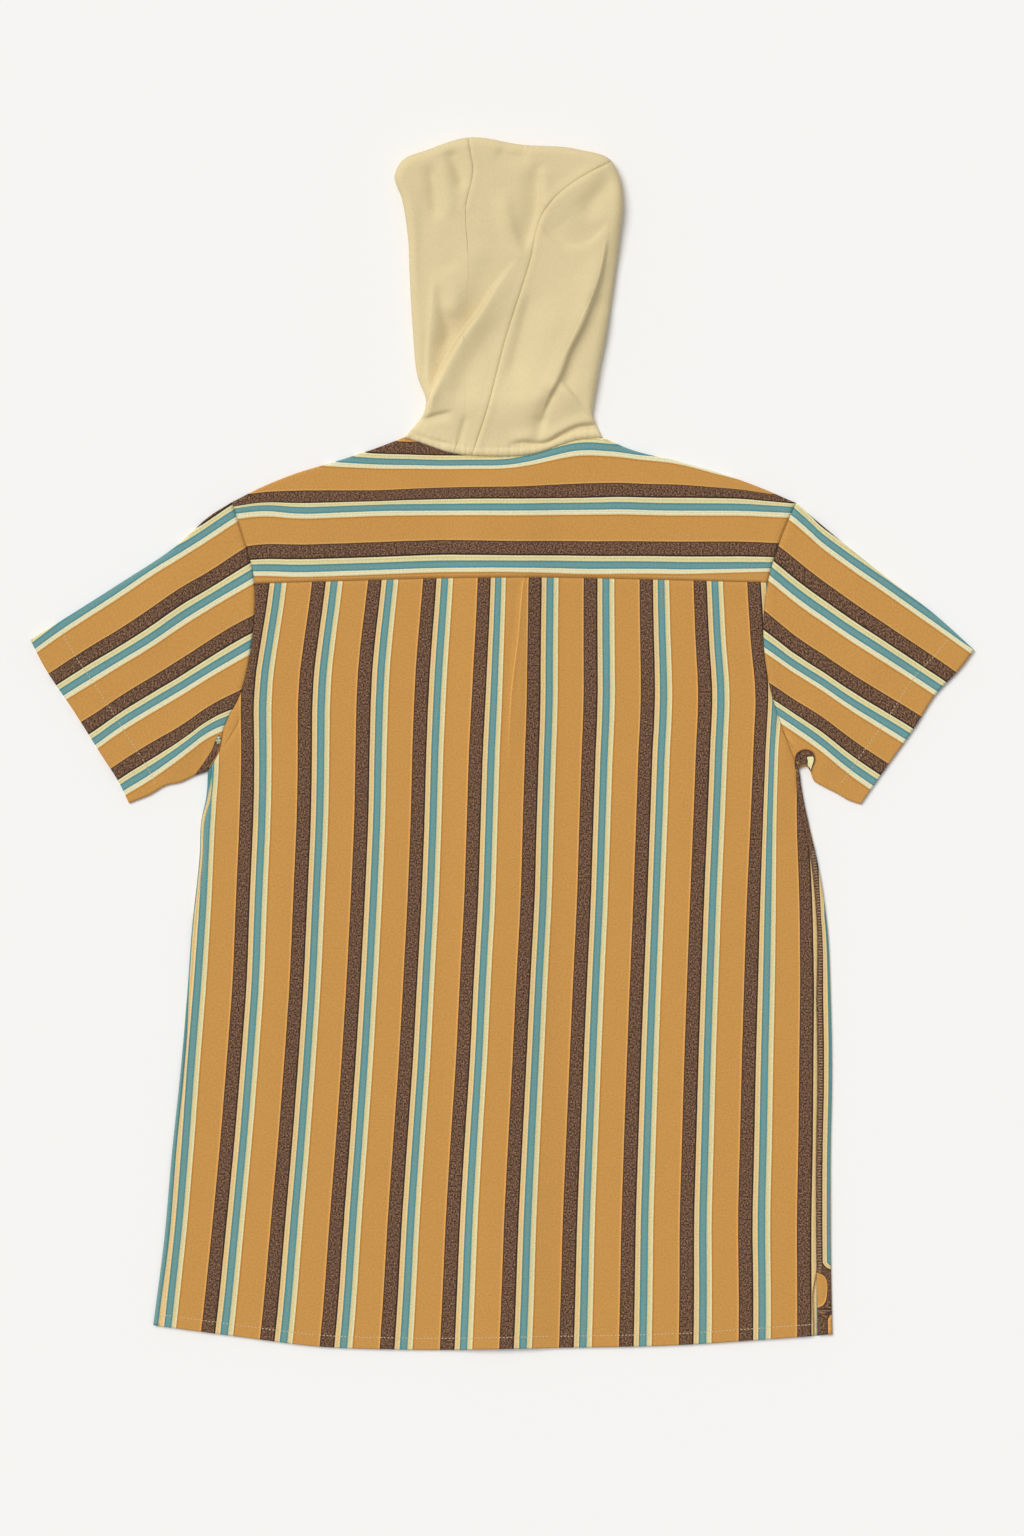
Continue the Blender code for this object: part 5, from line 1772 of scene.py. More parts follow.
@dataclass
class Hood:
    """The hood's three panels and its hidden layers."""

    center_area: float = 0.020
    left_area: float = 0.0367
    right_area: float = 0.0412
    core_rows: int = 40
    core_columns: int = 30
    core_first_y: float = 292.0

    def panels(self) -> list[ClothPiece]:
        """The left, middle and right panel."""
        edge = HoodEdge()
        neck_left, neck_center, neck_right = neck_seam_places()
        crown_left, crown_center, crown_right = (edge.inner(i, Side.UPPER) for i in (1, 2, 3))
        left_seam = seam_to(LEFT_HOOD_SEAM, crown_left[-1], HOOD_ROWS)
        right_seam = seam_to(RIGHT_HOOD_SEAM, crown_center[-1], HOOD_ROWS)
        left_seam[0], right_seam[0] = neck_left[-1], neck_center[-1]
        low_left, low_center, low_right = (edge.inner(i, Side.LOWER) for i in (1, 2, 3))
        left_turn = np.linspace(LEFT_FACE_EDGE[-1], low_left[-1], FLAP_ROWS + 1)
        right_turn = np.linspace(RIGHT_FACE_EDGE[-1], low_center[-1], FLAP_ROWS + 1)
        left_face = join(Line(LEFT_FACE_EDGE).spots(HOOD_ROWS - FLAP_ROWS), left_turn)
        right_face = join(Line(RIGHT_FACE_EDGE).spots(HOOD_ROWS - FLAP_ROWS), right_turn)

        neckline = join(*LEFT_HALF.neckline_places())
        left_face[0] = neckline[-1]
        left = edge.bands(0, 2)
        left.append(Patch(spread(neck_left, crown_left, edge.inner(0, Side.UPPER), left_seam), Side.UPPER))
        left.append(Patch(spread(neckline, low_left, edge.inner(0, Side.LOWER), left_face), Side.LOWER))

        center = edge.bands(2, 3)
        center.append(Patch(spread(neck_center, crown_center, left_seam, right_seam), Side.UPPER))
        forehead = np.linspace(left_turn[0], right_turn[0], CENTER_HOOD_COLUMNS + 1)
        center.append(Patch(spread(forehead, low_center, left_turn, right_turn), Side.LOWER))

        neckline = join(*RIGHT_HALF.neckline_places())[::-1]
        right_face[0] = neckline[0]
        right = edge.bands(3, 5)
        upper_edge, lower_edge = edge.inner(4, Side.UPPER)[::-1], edge.inner(4, Side.LOWER)[::-1]
        right.append(Patch(spread(neck_right, crown_right, right_seam, upper_edge), Side.UPPER))
        right.append(Patch(spread(neckline, low_right, right_face, lower_edge), Side.LOWER))
        return [
            self.panel("hood_side_left", left, (0.17, 0.345), self.left_area, -1, OUTER_LIFT),
            self.panel("hood_center", center, (0.137, 0.28), self.center_area, 1, 0.0),
            self.panel("hood_side_right", right, (0.2, 0.345), self.right_area, 1, INNER_LIFT),
        ]

    @staticmethod
    def panel(
        name: str, patches: list[Patch], flat: tuple[float, float], area: float, side: int, lift: float
    ) -> ClothPiece:
        """One panel.

        Args:
            name: the node it stands for.
            patches: its patches.
            flat: its cut's width and length.
            area: its cut's area.
            side: the side that its lower flap comes from, -1 for the left.
            lift: how much the buttoned band lifts that flap.

        Returns:
            the piece.
        """
        return ClothPiece(
            name,
            "hood_cloth",
            HOOD_CLOTH,
            flat,
            area,
            plain,
            ("hood_under_layers",),
            gap=HOOD_GAP,
            lower_lift=lambda plan: band_lift(plan, side, lift),
            patches=patches,
        )

    def core_plan(self) -> Array:
        """Rows of places all over the hidden layers' top."""
        ys = [row.y for row in HOOD_SIDES]
        crown_xs, crown_ys = zip(*CROWN)
        share = np.linspace(0, 1, self.core_columns + 1)
        plan = []
        for v in np.linspace(0, 1, self.core_rows + 1):
            side_y = self.core_first_y + v * (HOOD_SIDES[-1].y - self.core_first_y)
            left = np.interp(side_y, ys, [row.left for row in HOOD_SIDES]) + CORE_INSET
            right = np.interp(side_y, ys, [row.right for row in HOOD_SIDES]) - CORE_INSET
            xs = left + (right - left) * share
            tops = np.interp(xs, crown_xs, crown_ys) - CORE_INSET
            corner = CORE_CORNER * smooth_step(np.abs(2 * share - 1) ** 3) * (2 * v - 1)
            plan.append(np.stack([xs, self.core_first_y + v * (tops - self.core_first_y) - corner], axis=-1))
        return np.array(plan)

    def core(self, finish: "Finish") -> None:
        """The hidden layers: one rounded solid, with a rim shaped as stacked layers.

        Args:
            finish: its finish.
        """
        plan = self.core_plan()
        rise = smooth_step(above_neck(plan) / HOOD_RISE_LENGTH)
        level = UPPER_LAYER + HOOD_LOFT * rise - CORE_DROP
        bm = bmesh.new()
        layer = bm.loops.layers.uv.new(UV_NAME)
        made = bmesh.ops.create_grid(bm, x_segments=self.core_columns, y_segments=self.core_rows, size=1)
        places = as_seen(plan, level).reshape(-1, 3) * MM
        for vert, place in zip(made["verts"], places):
            vert.co = place
        middle = Vector(places.mean(0))
        tops = {}
        rim = [edge for edge in bm.edges if edge.is_boundary]
        steps = LAYER_STEPS * CORE_LAYERS
        for step in range(1, steps + 1):
            grown = bmesh.ops.extrude_edge_only(bm, edges=rim)["geom"]
            verts = [item for item in grown if isinstance(item, bmesh.types.BMVert)]
            rim = [item for item in grown if isinstance(item, bmesh.types.BMEdge)]
            out = CORE_BULGE * math.sin(math.pi * CORE_LAYERS * step / steps) ** 2 * MM
            for vert in verts:
                key = (round(vert.co.x, 7), round(vert.co.y, 7))
                start = tops.get(key, vert.co.copy())
                away = (start - middle).to_2d().normalized() * out
                drop = (start.z - CORE_FLOOR * MM) * step / steps
                vert.co = start + Vector((away.x, away.y, -drop))
                tops[(round(vert.co.x, 7), round(vert.co.y, 7))] = start
        bmesh.ops.contextual_create(bm, geom=rim)
        bmesh.ops.recalc_face_normals(bm, faces=bm.faces)
        for face in bm.faces:
            for loop in face.loops:
                loop[layer].uv = loop.vert.co.xy
        core = to_object(bm, "hood_under_layers_cloth")
        core.data.materials.append(finish.material())
        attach(core, "root")
        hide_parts("hood_under_layers")
        LOG.info("%s: %d faces", core.name, len(core.data.polygons))


# Stitches and buttons


@dataclass(frozen=True)
class StitchRow:
    """A row of stitches along a line on the upper cloth."""

    name: str
    line: Line
    start: float
    stop: float
    pitch: float
    length: float
    width: float
    kept: float = 1.0  # the part of the stitches that shows
    turn: float = 0.0  # radians that each stitch is turned from the line
    sunk: float = 0.1
    skips: float = 0.37  # how fast the choice of hidden stitches changes along the row

    def sew(self, relief: Relief, finish: "Finish", wall: float, slot: str) -> bpy.types.Object:
        """Makes the row.

        Args:
            relief: the garment's heights.
            finish: the thread's finish.
            wall: the cloth's thickness.
            slot: the record's material slot that it goes with; not used.

        Returns:
            the row as one object.
        """
        count = max(2, int((self.stop - self.start) / self.pitch))
        marks = np.linspace(self.start, self.stop, count)
        places = self.line.at(marks)
        ahead = self.line.at(np.minimum(marks + 1, self.line.length)) - self.line.at(marks - 1)
        patch = Patch(places[:, None], Side.UPPER)
        heights = relief.heights(patch, wall, None)[:, 0]
        bm = bmesh.new()
        for index, (place, way, height) in enumerate(zip(places, ahead, heights)):
            hidden = noise.noise(Vector((index * self.skips, len(self.name), 0.5))) * 0.5 + 0.5
            if hidden > self.kept:
                continue
            angle = math.atan2(way[1], way[0]) + self.turn
            top = height + wall / 2 - self.sunk
            spot = Vector(as_seen(place, np.array(top))) * MM
            turn = Matrix.Rotation(angle, 4, "Z")
            size = Matrix.Diagonal((self.length / 2 * MM, self.width / 2 * MM, self.width / 2 * MM, 1))
            bmesh.ops.create_icosphere(
                bm, subdivisions=1, radius=1, matrix=Matrix.Translation(spot) @ turn @ size
            )
        row = to_object(bm, self.name)
        row.data.materials.append(finish.material())
        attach(row, "root")
        return row


class CurlRing(NamedTuple):
    """One ring of the armpit's curl."""

    share: float  # its distance from the middle, 1 at the rim
    rise: float  # above the sleeve
    left: float  # its place in the stripes on the left, in repeats
    right: float


@dataclass(frozen=True)
class ArmpitCurl:
    """The right armpit's curled opening: a rolled rim round a hollow that shows the lower cloth, with shade
    painted as dark threads inside the rim.
    """

    name: str = "sleeve_right_curl"
    middle: Place = Place(263, -12)
    pale_from: Place = Place(264.6, -10.4)
    pale_fade: float = 2.5
    low_y: float = -17.0  # the rim is low below this
    low_fade: float = 8.0
    low_share: float = 0.15
    count: int = 48
    rings: tuple[CurlRing, ...] = (
        CurlRing(1.06, -0.9, 0.8, 0.8),
        CurlRing(1.0, 0.9, 0.85, 0.85),
        CurlRing(0.95, 1.9, 0.97, 0.95),
        # rings 0.91 and 0.85 stretch the stripes' dark thread, 1.22 to 1.245, into a painted shade line
        # inside the rim; the ochre, brown and cream are the cloth's own stripes
        CurlRing(0.91, 2.3, 1.22, 1.235),
        CurlRing(0.85, 1.8, 1.1, 1.245),
        CurlRing(0.78, 0.8, 1.06, 1.268),
        CurlRing(0.5, 0.3, 1.12, 1.268),
        CurlRing(0.25, 0.2, 1.15, 1.268),
        CurlRing(0.05, 0.2, 1.17, 1.268),
    )

    def sew(self, relief: Relief, finish: "Finish") -> bpy.types.Object:
        """Makes the curl.

        Args:
            relief: the garment's heights.
            finish: the sleeve's finish.

        Returns:
            the curl.
        """
        bm = bmesh.new()
        layer = bm.loops.layers.uv.new(UV_NAME)
        made = bmesh.ops.create_grid(bm, x_segments=self.count, y_segments=len(self.rings) - 1, size=1)
        rim = Line(ARMPIT_RIM).spots(self.count)
        plan = np.stack([self.middle + (rim - self.middle) * ring.share for ring in self.rings])
        closed = smooth_step((plan[..., 1] - self.low_y) / self.low_fade + 0.5)
        closed = closed * (1 - self.low_share) + self.low_share
        rise = np.array([ring.rise for ring in self.rings])[:, None] * closed
        height = relief.heights(Patch(plan, Side.UPPER), CLOTH, None) + CLOTH / 2 + rise
        places = as_seen(plan, height).reshape(-1, 3) * MM
        right = smooth_step((plan[..., 0] - self.pale_from.x) / self.pale_fade + 0.5)
        right *= smooth_step((self.pale_from.y - plan[..., 1]) / self.pale_fade + 0.5)
        left_mark, right_mark = (np.array([ring[i] for ring in self.rings])[:, None] for i in (2, 3))
        across = left_mark + (right_mark - left_mark) * right
        marks = np.stack([across, plan[..., 1] * MM], axis=-1).reshape(-1, 2)
        uvs = {}
        for vert, place, mark in zip(made["verts"], places, marks):
            vert.co = place
            uvs[vert] = mark
        for face in bm.faces:
            for loop in face.loops:
                loop[layer].uv = uvs[loop.vert]
        bmesh.ops.remove_doubles(bm, verts=bm.verts, dist=FINE_MERGE_REACH * MM)
        bmesh.ops.recalc_face_normals(bm, faces=bm.faces)
        curl = to_object(bm, self.name)
        wall = curl.modifiers.new("wall", "SOLIDIFY")
        wall.thickness = CLOTH / 2 * MM
        wall.offset = -1 if sum(face.normal.z for face in curl.data.polygons) > 0 else 1
        curl.data.materials.append(finish.material())
        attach(curl, "root")
        return curl


@dataclass
class Buttons:
    """The front's buttons, sewn on with crossed thread."""

    rim: float = 1.4
    slope: float = 0.7  # from the rim down to the dish
    dish: float = 0.5
    segments: int = 40
    thread_reach: float = 2.2
    thread_width: float = 0.35
    thread_height: float = 0.3

    def profile(self) -> list[tuple[float, float]]:
        """The button's half section, as distances from its axis and heights."""
        radius, top = BUTTON_DIAMETER / 2, BUTTON_THICKNESS
        return [
            (0.0, 0.0),
            (radius - 0.8, 0.0),
            (radius - 0.2, 0.35),
            (radius, 0.9),
            (radius - 0.15, top - 0.3),
            (radius - 0.55, top),
            (radius - self.rim, top - 0.12),
            (radius - self.rim - self.slope, top - self.dish),
            (0.0, top - self.dish),
        ]

    def make(self, finish: "Finish", thread: "Finish") -> None:
        """Turns each button and sews its thread.

        Args:
            finish: the buttons' finish.
            thread: the thread's finish.
        """
        for index in range(BUTTON_COUNT):
            middle = Vector((CENTER_X, FIRST_BUTTON_Y - index * BUTTON_SPACING, 0)) * MM
            bm = bmesh.new()
            verts = [
                bm.verts.new(middle + Vector((x, 0, BUTTON_THICKNESS - z)) * MM) for x, z in self.profile()
            ]
            edges = [bm.edges.new(pair) for pair in zip(verts, verts[1:])]
            bmesh.ops.spin(
                bm,
                geom=verts + edges,
                cent=middle,
                axis=(0, 0, 1),
                angle=2 * math.pi,
                steps=self.segments,
                use_merge=True,
            )
            bmesh.ops.remove_doubles(bm, verts=bm.verts, dist=FINE_MERGE_REACH * MM)
            bmesh.ops.recalc_face_normals(bm, faces=bm.faces)
            button = to_object(bm, f"button_{index + 1}_turned")
            button.data.materials.append(finish.material())
            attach(button, "root")
            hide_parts(f"button_{index + 1}")
            self.cross(middle, index, thread)

    def cross(self, middle: Vector, index: int, thread: "Finish") -> None:
        """Crossed thread in the button's dish, on its lower face.

        Args:
            middle: the button's middle on the table.
            index: which button it is.
            thread: the thread's finish.
        """
        bm = bmesh.new()
        for turn in (math.pi / 4, -math.pi / 4):
            spot = middle + Vector((0, 0, self.dish * MM))
            halves = (self.thread_reach * MM, self.thread_width * MM, self.thread_height * MM)
            size = Matrix.Diagonal((*halves, 1))
            matrix = Matrix.Translation(spot) @ Matrix.Rotation(turn, 4, "Z") @ size
            bmesh.ops.create_icosphere(bm, subdivisions=2, radius=1, matrix=matrix)
        cross = to_object(bm, f"button_thread_{index + 1}")
        cross.data.materials.append(thread.material())
        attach(cross, "root")


# Finishes


def linear(red: float, green: float, blue: float) -> tuple[float, float, float, float]:
    """A colour of 0 to 255 as it looks on a screen, as the shader's linear one, by the sRGB curve."""
    parts = [value / 255 for value in (red, green, blue)]
    parts = [part / 12.92 if part <= 0.04045 else ((part + 0.055) / 1.055) ** 2.4 for part in parts]
    return (*parts, 1.0)


class Value:
    """A number on its way through a shader, with arithmetic that adds its Math nodes."""

    def __init__(self, graph: "Graph", socket: bpy.types.NodeSocket) -> None:
        """Wraps a socket.

        Args:
            graph: the material's nodes.
            socket: the socket that gives the number.
        """
        self.graph = graph
        self.socket = socket

    def __add__(self, other: "Value | float") -> "Value":
        """The sum."""
        return self.graph.math("ADD", self, other)

    __radd__ = __add__

    def __sub__(self, other: "Value | float") -> "Value":
        """The difference."""
        return self.graph.math("SUBTRACT", self, other)

    def __rsub__(self, other: "Value | float") -> "Value":
        """The difference, taken from a number."""
        return self.graph.math("SUBTRACT", other, self)

    def __mul__(self, other: "Value | float") -> "Value":
        """The product."""
        return self.graph.math("MULTIPLY", self, other)

    __rmul__ = __mul__

    def __pow__(self, other: "Value | float") -> "Value":
        """The power."""
        return self.graph.math("POWER", self, other)

    def __lt__(self, other: "Value | float") -> "Value":
        """1 where it is less, otherwise 0."""
        return self.graph.math("LESS_THAN", self, other)

    def __gt__(self, other: "Value | float") -> "Value":
        """1 where it is more, otherwise 0."""
        return self.graph.math("GREATER_THAN", self, other)


Input = Value | float | int | tuple | bpy.types.NodeSocket


class Graph:
    """The nodes of one material."""

    def __init__(self, name: str) -> None:
        """Starts an empty material.

        Args:
            name: its name.
        """
        self.made = bpy.data.materials.new(name)
        self.made.use_nodes = True
        self.tree = self.made.node_tree
        self.tree.nodes.clear()

    def node(self, kind: str, settings: dict[str, object], inputs: dict[str | int, Input]) -> bpy.types.Node:
        """Adds a node.

        Args:
            kind: the node's type, without its ShaderNode.
            settings: its own settings, which are set first.
            inputs: a value or a link for each socket, by name or by number.

        Returns:
            the node.
        """
        made = self.tree.nodes.new("ShaderNode" + kind)
        for name, setting in settings.items():
            setattr(made, name, setting)
        for name, value in inputs.items():
            socket = value.socket if isinstance(value, Value) else value
            if isinstance(socket, bpy.types.NodeSocket):
                self.tree.links.new(socket, made.inputs[name])
            else:
                made.inputs[name].default_value = socket
        return made

    def math(self, operation: str, *values: Input) -> Value:
        """One Math node's result."""
        made = self.node("Math", {"operation": operation}, dict(enumerate(values)))
        return Value(self, made.outputs[0])

    def ramp(self, value: Value, stops: Sequence[tuple[float, tuple]]) -> bpy.types.NodeSocket:
        """A colour ramp's colour.

        Args:
            value: where on the ramp.
            stops: places on it and their colours.

        Returns:
            the colour.
        """
        made = self.node("ValToRGB", {}, {0: value})
        elements = made.color_ramp.elements
        while len(elements) < len(stops):
            elements.new(0.5)
        for element, (place, color) in zip(elements, stops):
            element.position = place
        for element, (place, color) in zip(elements, stops):
            element.color = color
        return made.outputs[0]

    def mix(self, factor: Input, first: Input, second: Input, blend: str = "MIX") -> bpy.types.NodeSocket:
        """Two colours mixed."""
        settings = {"data_type": "RGBA", "blend_type": blend}
        return self.node("Mix", settings, {0: factor, 6: first, 7: second}).outputs[2]

    def grain(self, vector: Input, scale: float, detail: float = 2.0, roughness: float = 0.5) -> Value:
        """Noise from 0 to 1 at a vector."""
        inputs = {"Vector": vector, "Scale": scale, "Detail": detail, "Roughness": roughness}
        return Value(self, self.node("TexNoise", {}, inputs).outputs[0])

    def sway(
        self, vector: Input, scale: float, amount: float, detail: float = 2.0, roughness: float = 0.5
    ) -> Value:
        """Noise about 0 at a vector, from half the amount below it to half above."""
        return (self.grain(vector, scale, detail, roughness) - 0.5) * amount

    def clamped(self, value: Value) -> Value:
        """A number held between 0 and 1."""
        return self.math("MINIMUM", self.math("MAXIMUM", value, 0.0), 1.0)

    def object_place(self) -> bpy.types.NodeSocket:
        """The place in the object's own coordinates."""
        return self.node("TexCoord", {}, {}).outputs["Object"]

    def bump(self, strength: float, distance: float, height: Value) -> bpy.types.NodeSocket:
        """The direction of a surface with small heights on it."""
        made = self.node("Bump", {}, {"Strength": strength, "Distance": distance, "Height": height})
        return made.outputs[0]

    def vector(self, x: Input, y: Input, z: Input = 0.0) -> bpy.types.NodeSocket:
        """Three numbers as a vector."""
        return self.node("CombineXYZ", {}, {0: x, 1: y, 2: z}).outputs[0]

    def painted_crease_light(self, tone: Value) -> Value:
        """A tone with painted highlight lines along the sharp creases and painted shade beside them."""
        off, strength = self.cloth_place(CREASE_NAME)
        gap = self.math("ABSOLUTE", off)
        bright = self.math("MAXIMUM", 1.0 - gap * (1 / CREASE_HIGHLIGHT_WIDTH), 0.0) * CREASE_HIGHLIGHT_TONE
        shade = self.math("MAXIMUM", 1.0 - gap * (1 / CREASE_SHADE_WIDTH), 0.0)
        shade = shade * (off > 0.0) * CREASE_SHADE_TONE
        return tone + (bright - shade) * strength

    def tinted(self, color: object, tone: Value) -> object:
        """A colour made lighter or darker by a tone."""
        return self.mix(1.0, color, self.vector(tone, tone, tone), "MULTIPLY")

    def cloth_place(self, name: str = UV_NAME) -> tuple[Value, Value]:
        """The place on the piece's own pattern, across and along, or what another of its layers holds."""
        uv = self.node("UVMap", {"uv_map": name}, {})
        parts = self.node("SeparateXYZ", {}, {0: uv.outputs[0]})
        return Value(self, parts.outputs[0]), Value(self, parts.outputs[1])

    def close(self, surface: dict[str | int, Input]) -> bpy.types.Material:
        """Adds the shader and the output.

        Args:
            surface: the Principled BSDF's values and links.

        Returns:
            the material.
        """
        shader = self.node("BsdfPrincipled", {}, surface)
        self.node("OutputMaterial", {}, {0: shader.outputs[0]})
        return self.made


class Finish:
    """A finish that makes its material once."""

    name = "finish"

    def material(self) -> bpy.types.Material:
        """The material, made at its first use."""
        return bpy.data.materials.get(self.name) or self.build()

    def build(self) -> bpy.types.Material:
        """Makes the material."""
        raise NotImplementedError


class Band(NamedTuple):
    """A band of the stripes' repeat: where it starts, as a part of the repeat, and its screen colour."""

    start: float
    red: float
    green: float
    blue: float


BODY_BANDS = (
    Band(0.0, 76, 54, 42),  # brown, with dark threads at both edges
    Band(0.02, 100, 75, 56),
    Band(0.221, 48, 34, 28),
    Band(0.249, 236, 204, 142),  # cream and peach threads
    Band(0.272, 224, 192, 134),
    Band(0.306, 241, 210, 146),
    Band(0.332, 80, 136, 142),  # teal
    Band(0.36, 110, 154, 151),
    Band(0.434, 88, 141, 146),
    Band(0.462, 218, 201, 145),  # cream and pale green threads
    Band(0.482, 229, 209, 147),
    Band(0.502, 216, 209, 158),
    Band(0.52, 234, 225, 178),
    Band(0.546, 191, 129, 50),  # ochre, with a dark and a bright thread at its edges
    Band(0.574, 202, 148, 76),
    Band(0.971, 228, 165, 85),
)
CROSSING_BANDS = (  # the yoke's and sleeves' pale threads are cooler
    *BODY_BANDS[:3],
    Band(0.249, 240, 230, 178),
    Band(0.27, 213, 201, 148),
    Band(0.296, 227, 214, 158),
    Band(0.332, 80, 138, 144),
    Band(0.36, 109, 154, 153),
    Band(0.434, 84, 139, 146),
    Band(0.462, 242, 231, 188),
    Band(0.482, 223, 214, 170),
    Band(0.502, 234, 230, 196),
    Band(0.524, 225, 211, 162),
    *BODY_BANDS[-3:-1],
    Band(0.974, 215, 161, 86),
)


@dataclass(frozen=True)
class StripedCloth(Finish):
    """Woven cotton with lengthwise stripes."""

    name: str = "striped_cloth_woven"
    bands: tuple[Band, ...] = BODY_BANDS
    yarn: float = 0.00048  # a thread's width, in metres
    edge: float = 0.0035  # half the width of a band's soft edge, in repeats
    last_stop: float = 0.996  # where the ramp's last band ends, in repeats
    waver: float = 0.006  # how far the bands' edges waver
    heather: tuple[float, float] = (0.02, 0.219)  # where the brown stripe's mixed threads lie, in repeats
    heather_share: float = 0.9
    dark_yarn: tuple = (38, 26, 21)
    pale_yarn: tuple = (176, 130, 97)
    speck: float = 4.6  # how sharply dark and pale threads are told apart
    speck_level: float = 0.29  # and the pale ones' share
    mottle: float = 0.62  # the tone's fine unevenness
    cloud: float = 0.05  # and its coarse one

    def build(self) -> bpy.types.Material:
        """Makes the material."""
        graph = Graph(self.name)
        across, along = graph.cloth_place()
        width = across * (REPEAT * MM)
        flat = graph.vector(width, along)
        long_yarn = graph.vector(width, along * 0.8)
        waver = graph.sway(flat, 900, self.waver, detail=1) + graph.sway(flat, 90, self.waver, detail=1)
        place = graph.math("FRACT", across + waver)
        stops = []
        for band, after in zip(self.bands, self.bands[1:] + (Band(1.0, 0, 0, 0),)):
            color = linear(*band[1:])
            stops.append((band.start + self.edge if stops else 0.0, color))
            stops.append((after.start - self.edge if after.start < 1 else self.last_stop, color))
        color = graph.ramp(place, stops)

        speck = graph.sway(long_yarn, 820, self.speck, detail=3, roughness=0.8) + self.speck_level
        heather = graph.mix(graph.clamped(speck), linear(*self.dark_yarn), linear(*self.pale_yarn))
        first, last = self.heather
        color = graph.mix((place < last) * (place > first) * self.heather_share, color, heather)

        mottle = graph.sway(flat, 620, self.mottle, roughness=0.7) + graph.sway(flat, 60, self.cloud) + 1.0
        # the tone also carries the creases' painted highlight and shade
        color = graph.tinted(color, graph.painted_crease_light(mottle))

        turn = 2 * math.pi / self.yarn
        warp = graph.math("SINE", width * turn) * graph.math("SINE", along * turn)
        height = warp * 0.5 + graph.grain(flat, 1500, 2) * 0.8 + graph.grain(flat, 160, 2) * 0.9
        bump = graph.bump(0.35, 0.00022, height)
        rough = graph.grain(flat, 500, 1) * 0.12 + 0.8
        return graph.close(
            {
                "Base Color": color,
                "Roughness": rough,
                "Normal": bump,
                "Specular IOR Level": 0.25,
                "Sheen Weight": 0.06,
                "Sheen Roughness": 0.5,
            }
        )


@dataclass(frozen=True)
class BrushedCloth(Finish):
    """The hood's brushed cotton."""

    name: str = "hood_cloth_brushed"
    color: tuple = (216, 196, 148)
    pale: tuple = (226, 209, 166)
    painted_light_below: float = 0.35  # painted light: the colour is painted paler below this level towards the neck, in metres
    painted_light_rise: float = 20.0  # parts of it a metre
    painted_light_tone: float = 0.1
    rib: float = 0.0006  # the twill's ribs, in metres
    mottle: float = 0.16
    cloud: float = 0.05

    def build(self) -> bpy.types.Material:
        """Makes the material."""
        graph = Graph(self.name)
        across, along = graph.cloth_place()
        flat = graph.vector(across, along)
        nap = graph.vector(across, along * 0.4)
        fuzz = graph.grain(nap, 620, 3, 0.6)
        color = graph.mix(fuzz, linear(*self.color), linear(*self.pale))
        mottle = graph.sway(flat, 560, self.mottle, roughness=0.7) + graph.sway(flat, 30, self.cloud) + 1.0
        # painted light: the colour is painted paler towards the neck, lifting the shade on the hood's slope
        # down to it
        low = graph.clamped((self.painted_light_below - along) * self.painted_light_rise)
        mottle = mottle + low * self.painted_light_tone
        # the tone also carries the creases' painted highlight and shade
        color = graph.tinted(color, graph.painted_crease_light(mottle))
        turn = 2 * math.pi / self.rib
        twill = graph.math("SINE", (across + along) * turn)
        height = twill * 0.25 + fuzz * 1.0 + graph.grain(flat, 170, 2) * 0.8
        bump = graph.bump(0.3, 0.00025, height)
        rough = graph.grain(flat, 300, 1) * 0.1 + 0.82
        return graph.close(
            {
                "Base Color": color,
                "Roughness": rough,
                "Normal": bump,
                "Specular IOR Level": 0.2,
                "Sheen Weight": 0.12,
                "Sheen Roughness": 0.45,
            }
        )


@dataclass(frozen=True)
class Thread(Finish):
    """Sewing thread."""

    name: str = "thread_cream"
    color: tuple = (236, 214, 172)
    shade: float = 0.8

    def build(self) -> bpy.types.Material:
        """Makes the material."""
        graph = Graph(self.name)
        place = graph.object_place()
        twist = graph.grain(place, 2200, 2)
        dark = linear(*(value * self.shade for value in self.color))
        color = graph.mix(twist, dark, linear(*self.color))
        bump = graph.bump(0.3, 0.0001, twist)
        return graph.close({"Base Color": color, "Roughness": 0.7, "Normal": bump, "Specular IOR Level": 0.3})


@dataclass(frozen=True)
class Horn(Finish):
    """The buttons' dark horn look."""

    name: str = "horn_dark"
    dark: tuple = (48, 30, 20)
    pale: tuple = (128, 88, 54)

    def build(self) -> bpy.types.Material:
        """Makes the material."""
        graph = Graph(self.name)
        place = graph.object_place()
        cloud = graph.grain(place, 180, 4, 0.6)
        color = graph.mix(cloud, linear(*self.dark), linear(*self.pale))
        rough = graph.grain(place, 900, 2) * 0.2 + 0.25
        bump = graph.bump(0.1, 0.0001, cloud)
        return graph.close({"Base Color": color, "Roughness": rough, "Normal": bump})


@dataclass(frozen=True)
class Paper(Finish):
    """The plain pale floor."""

    name: str = "floor_paper"
    color: tuple = (247, 246, 244)

    def build(self) -> bpy.types.Material:
        """Makes the material."""
        graph = Graph(self.name)
        place = graph.object_place()
        tone = graph.grain(place, 1.2, 2)
        color = graph.mix(tone, linear(*self.color), linear(*(value - 1 for value in self.color)))
        return graph.close({"Base Color": color, "Roughness": 0.95, "Specular IOR Level": 0.05})


# The studio and the whole garment


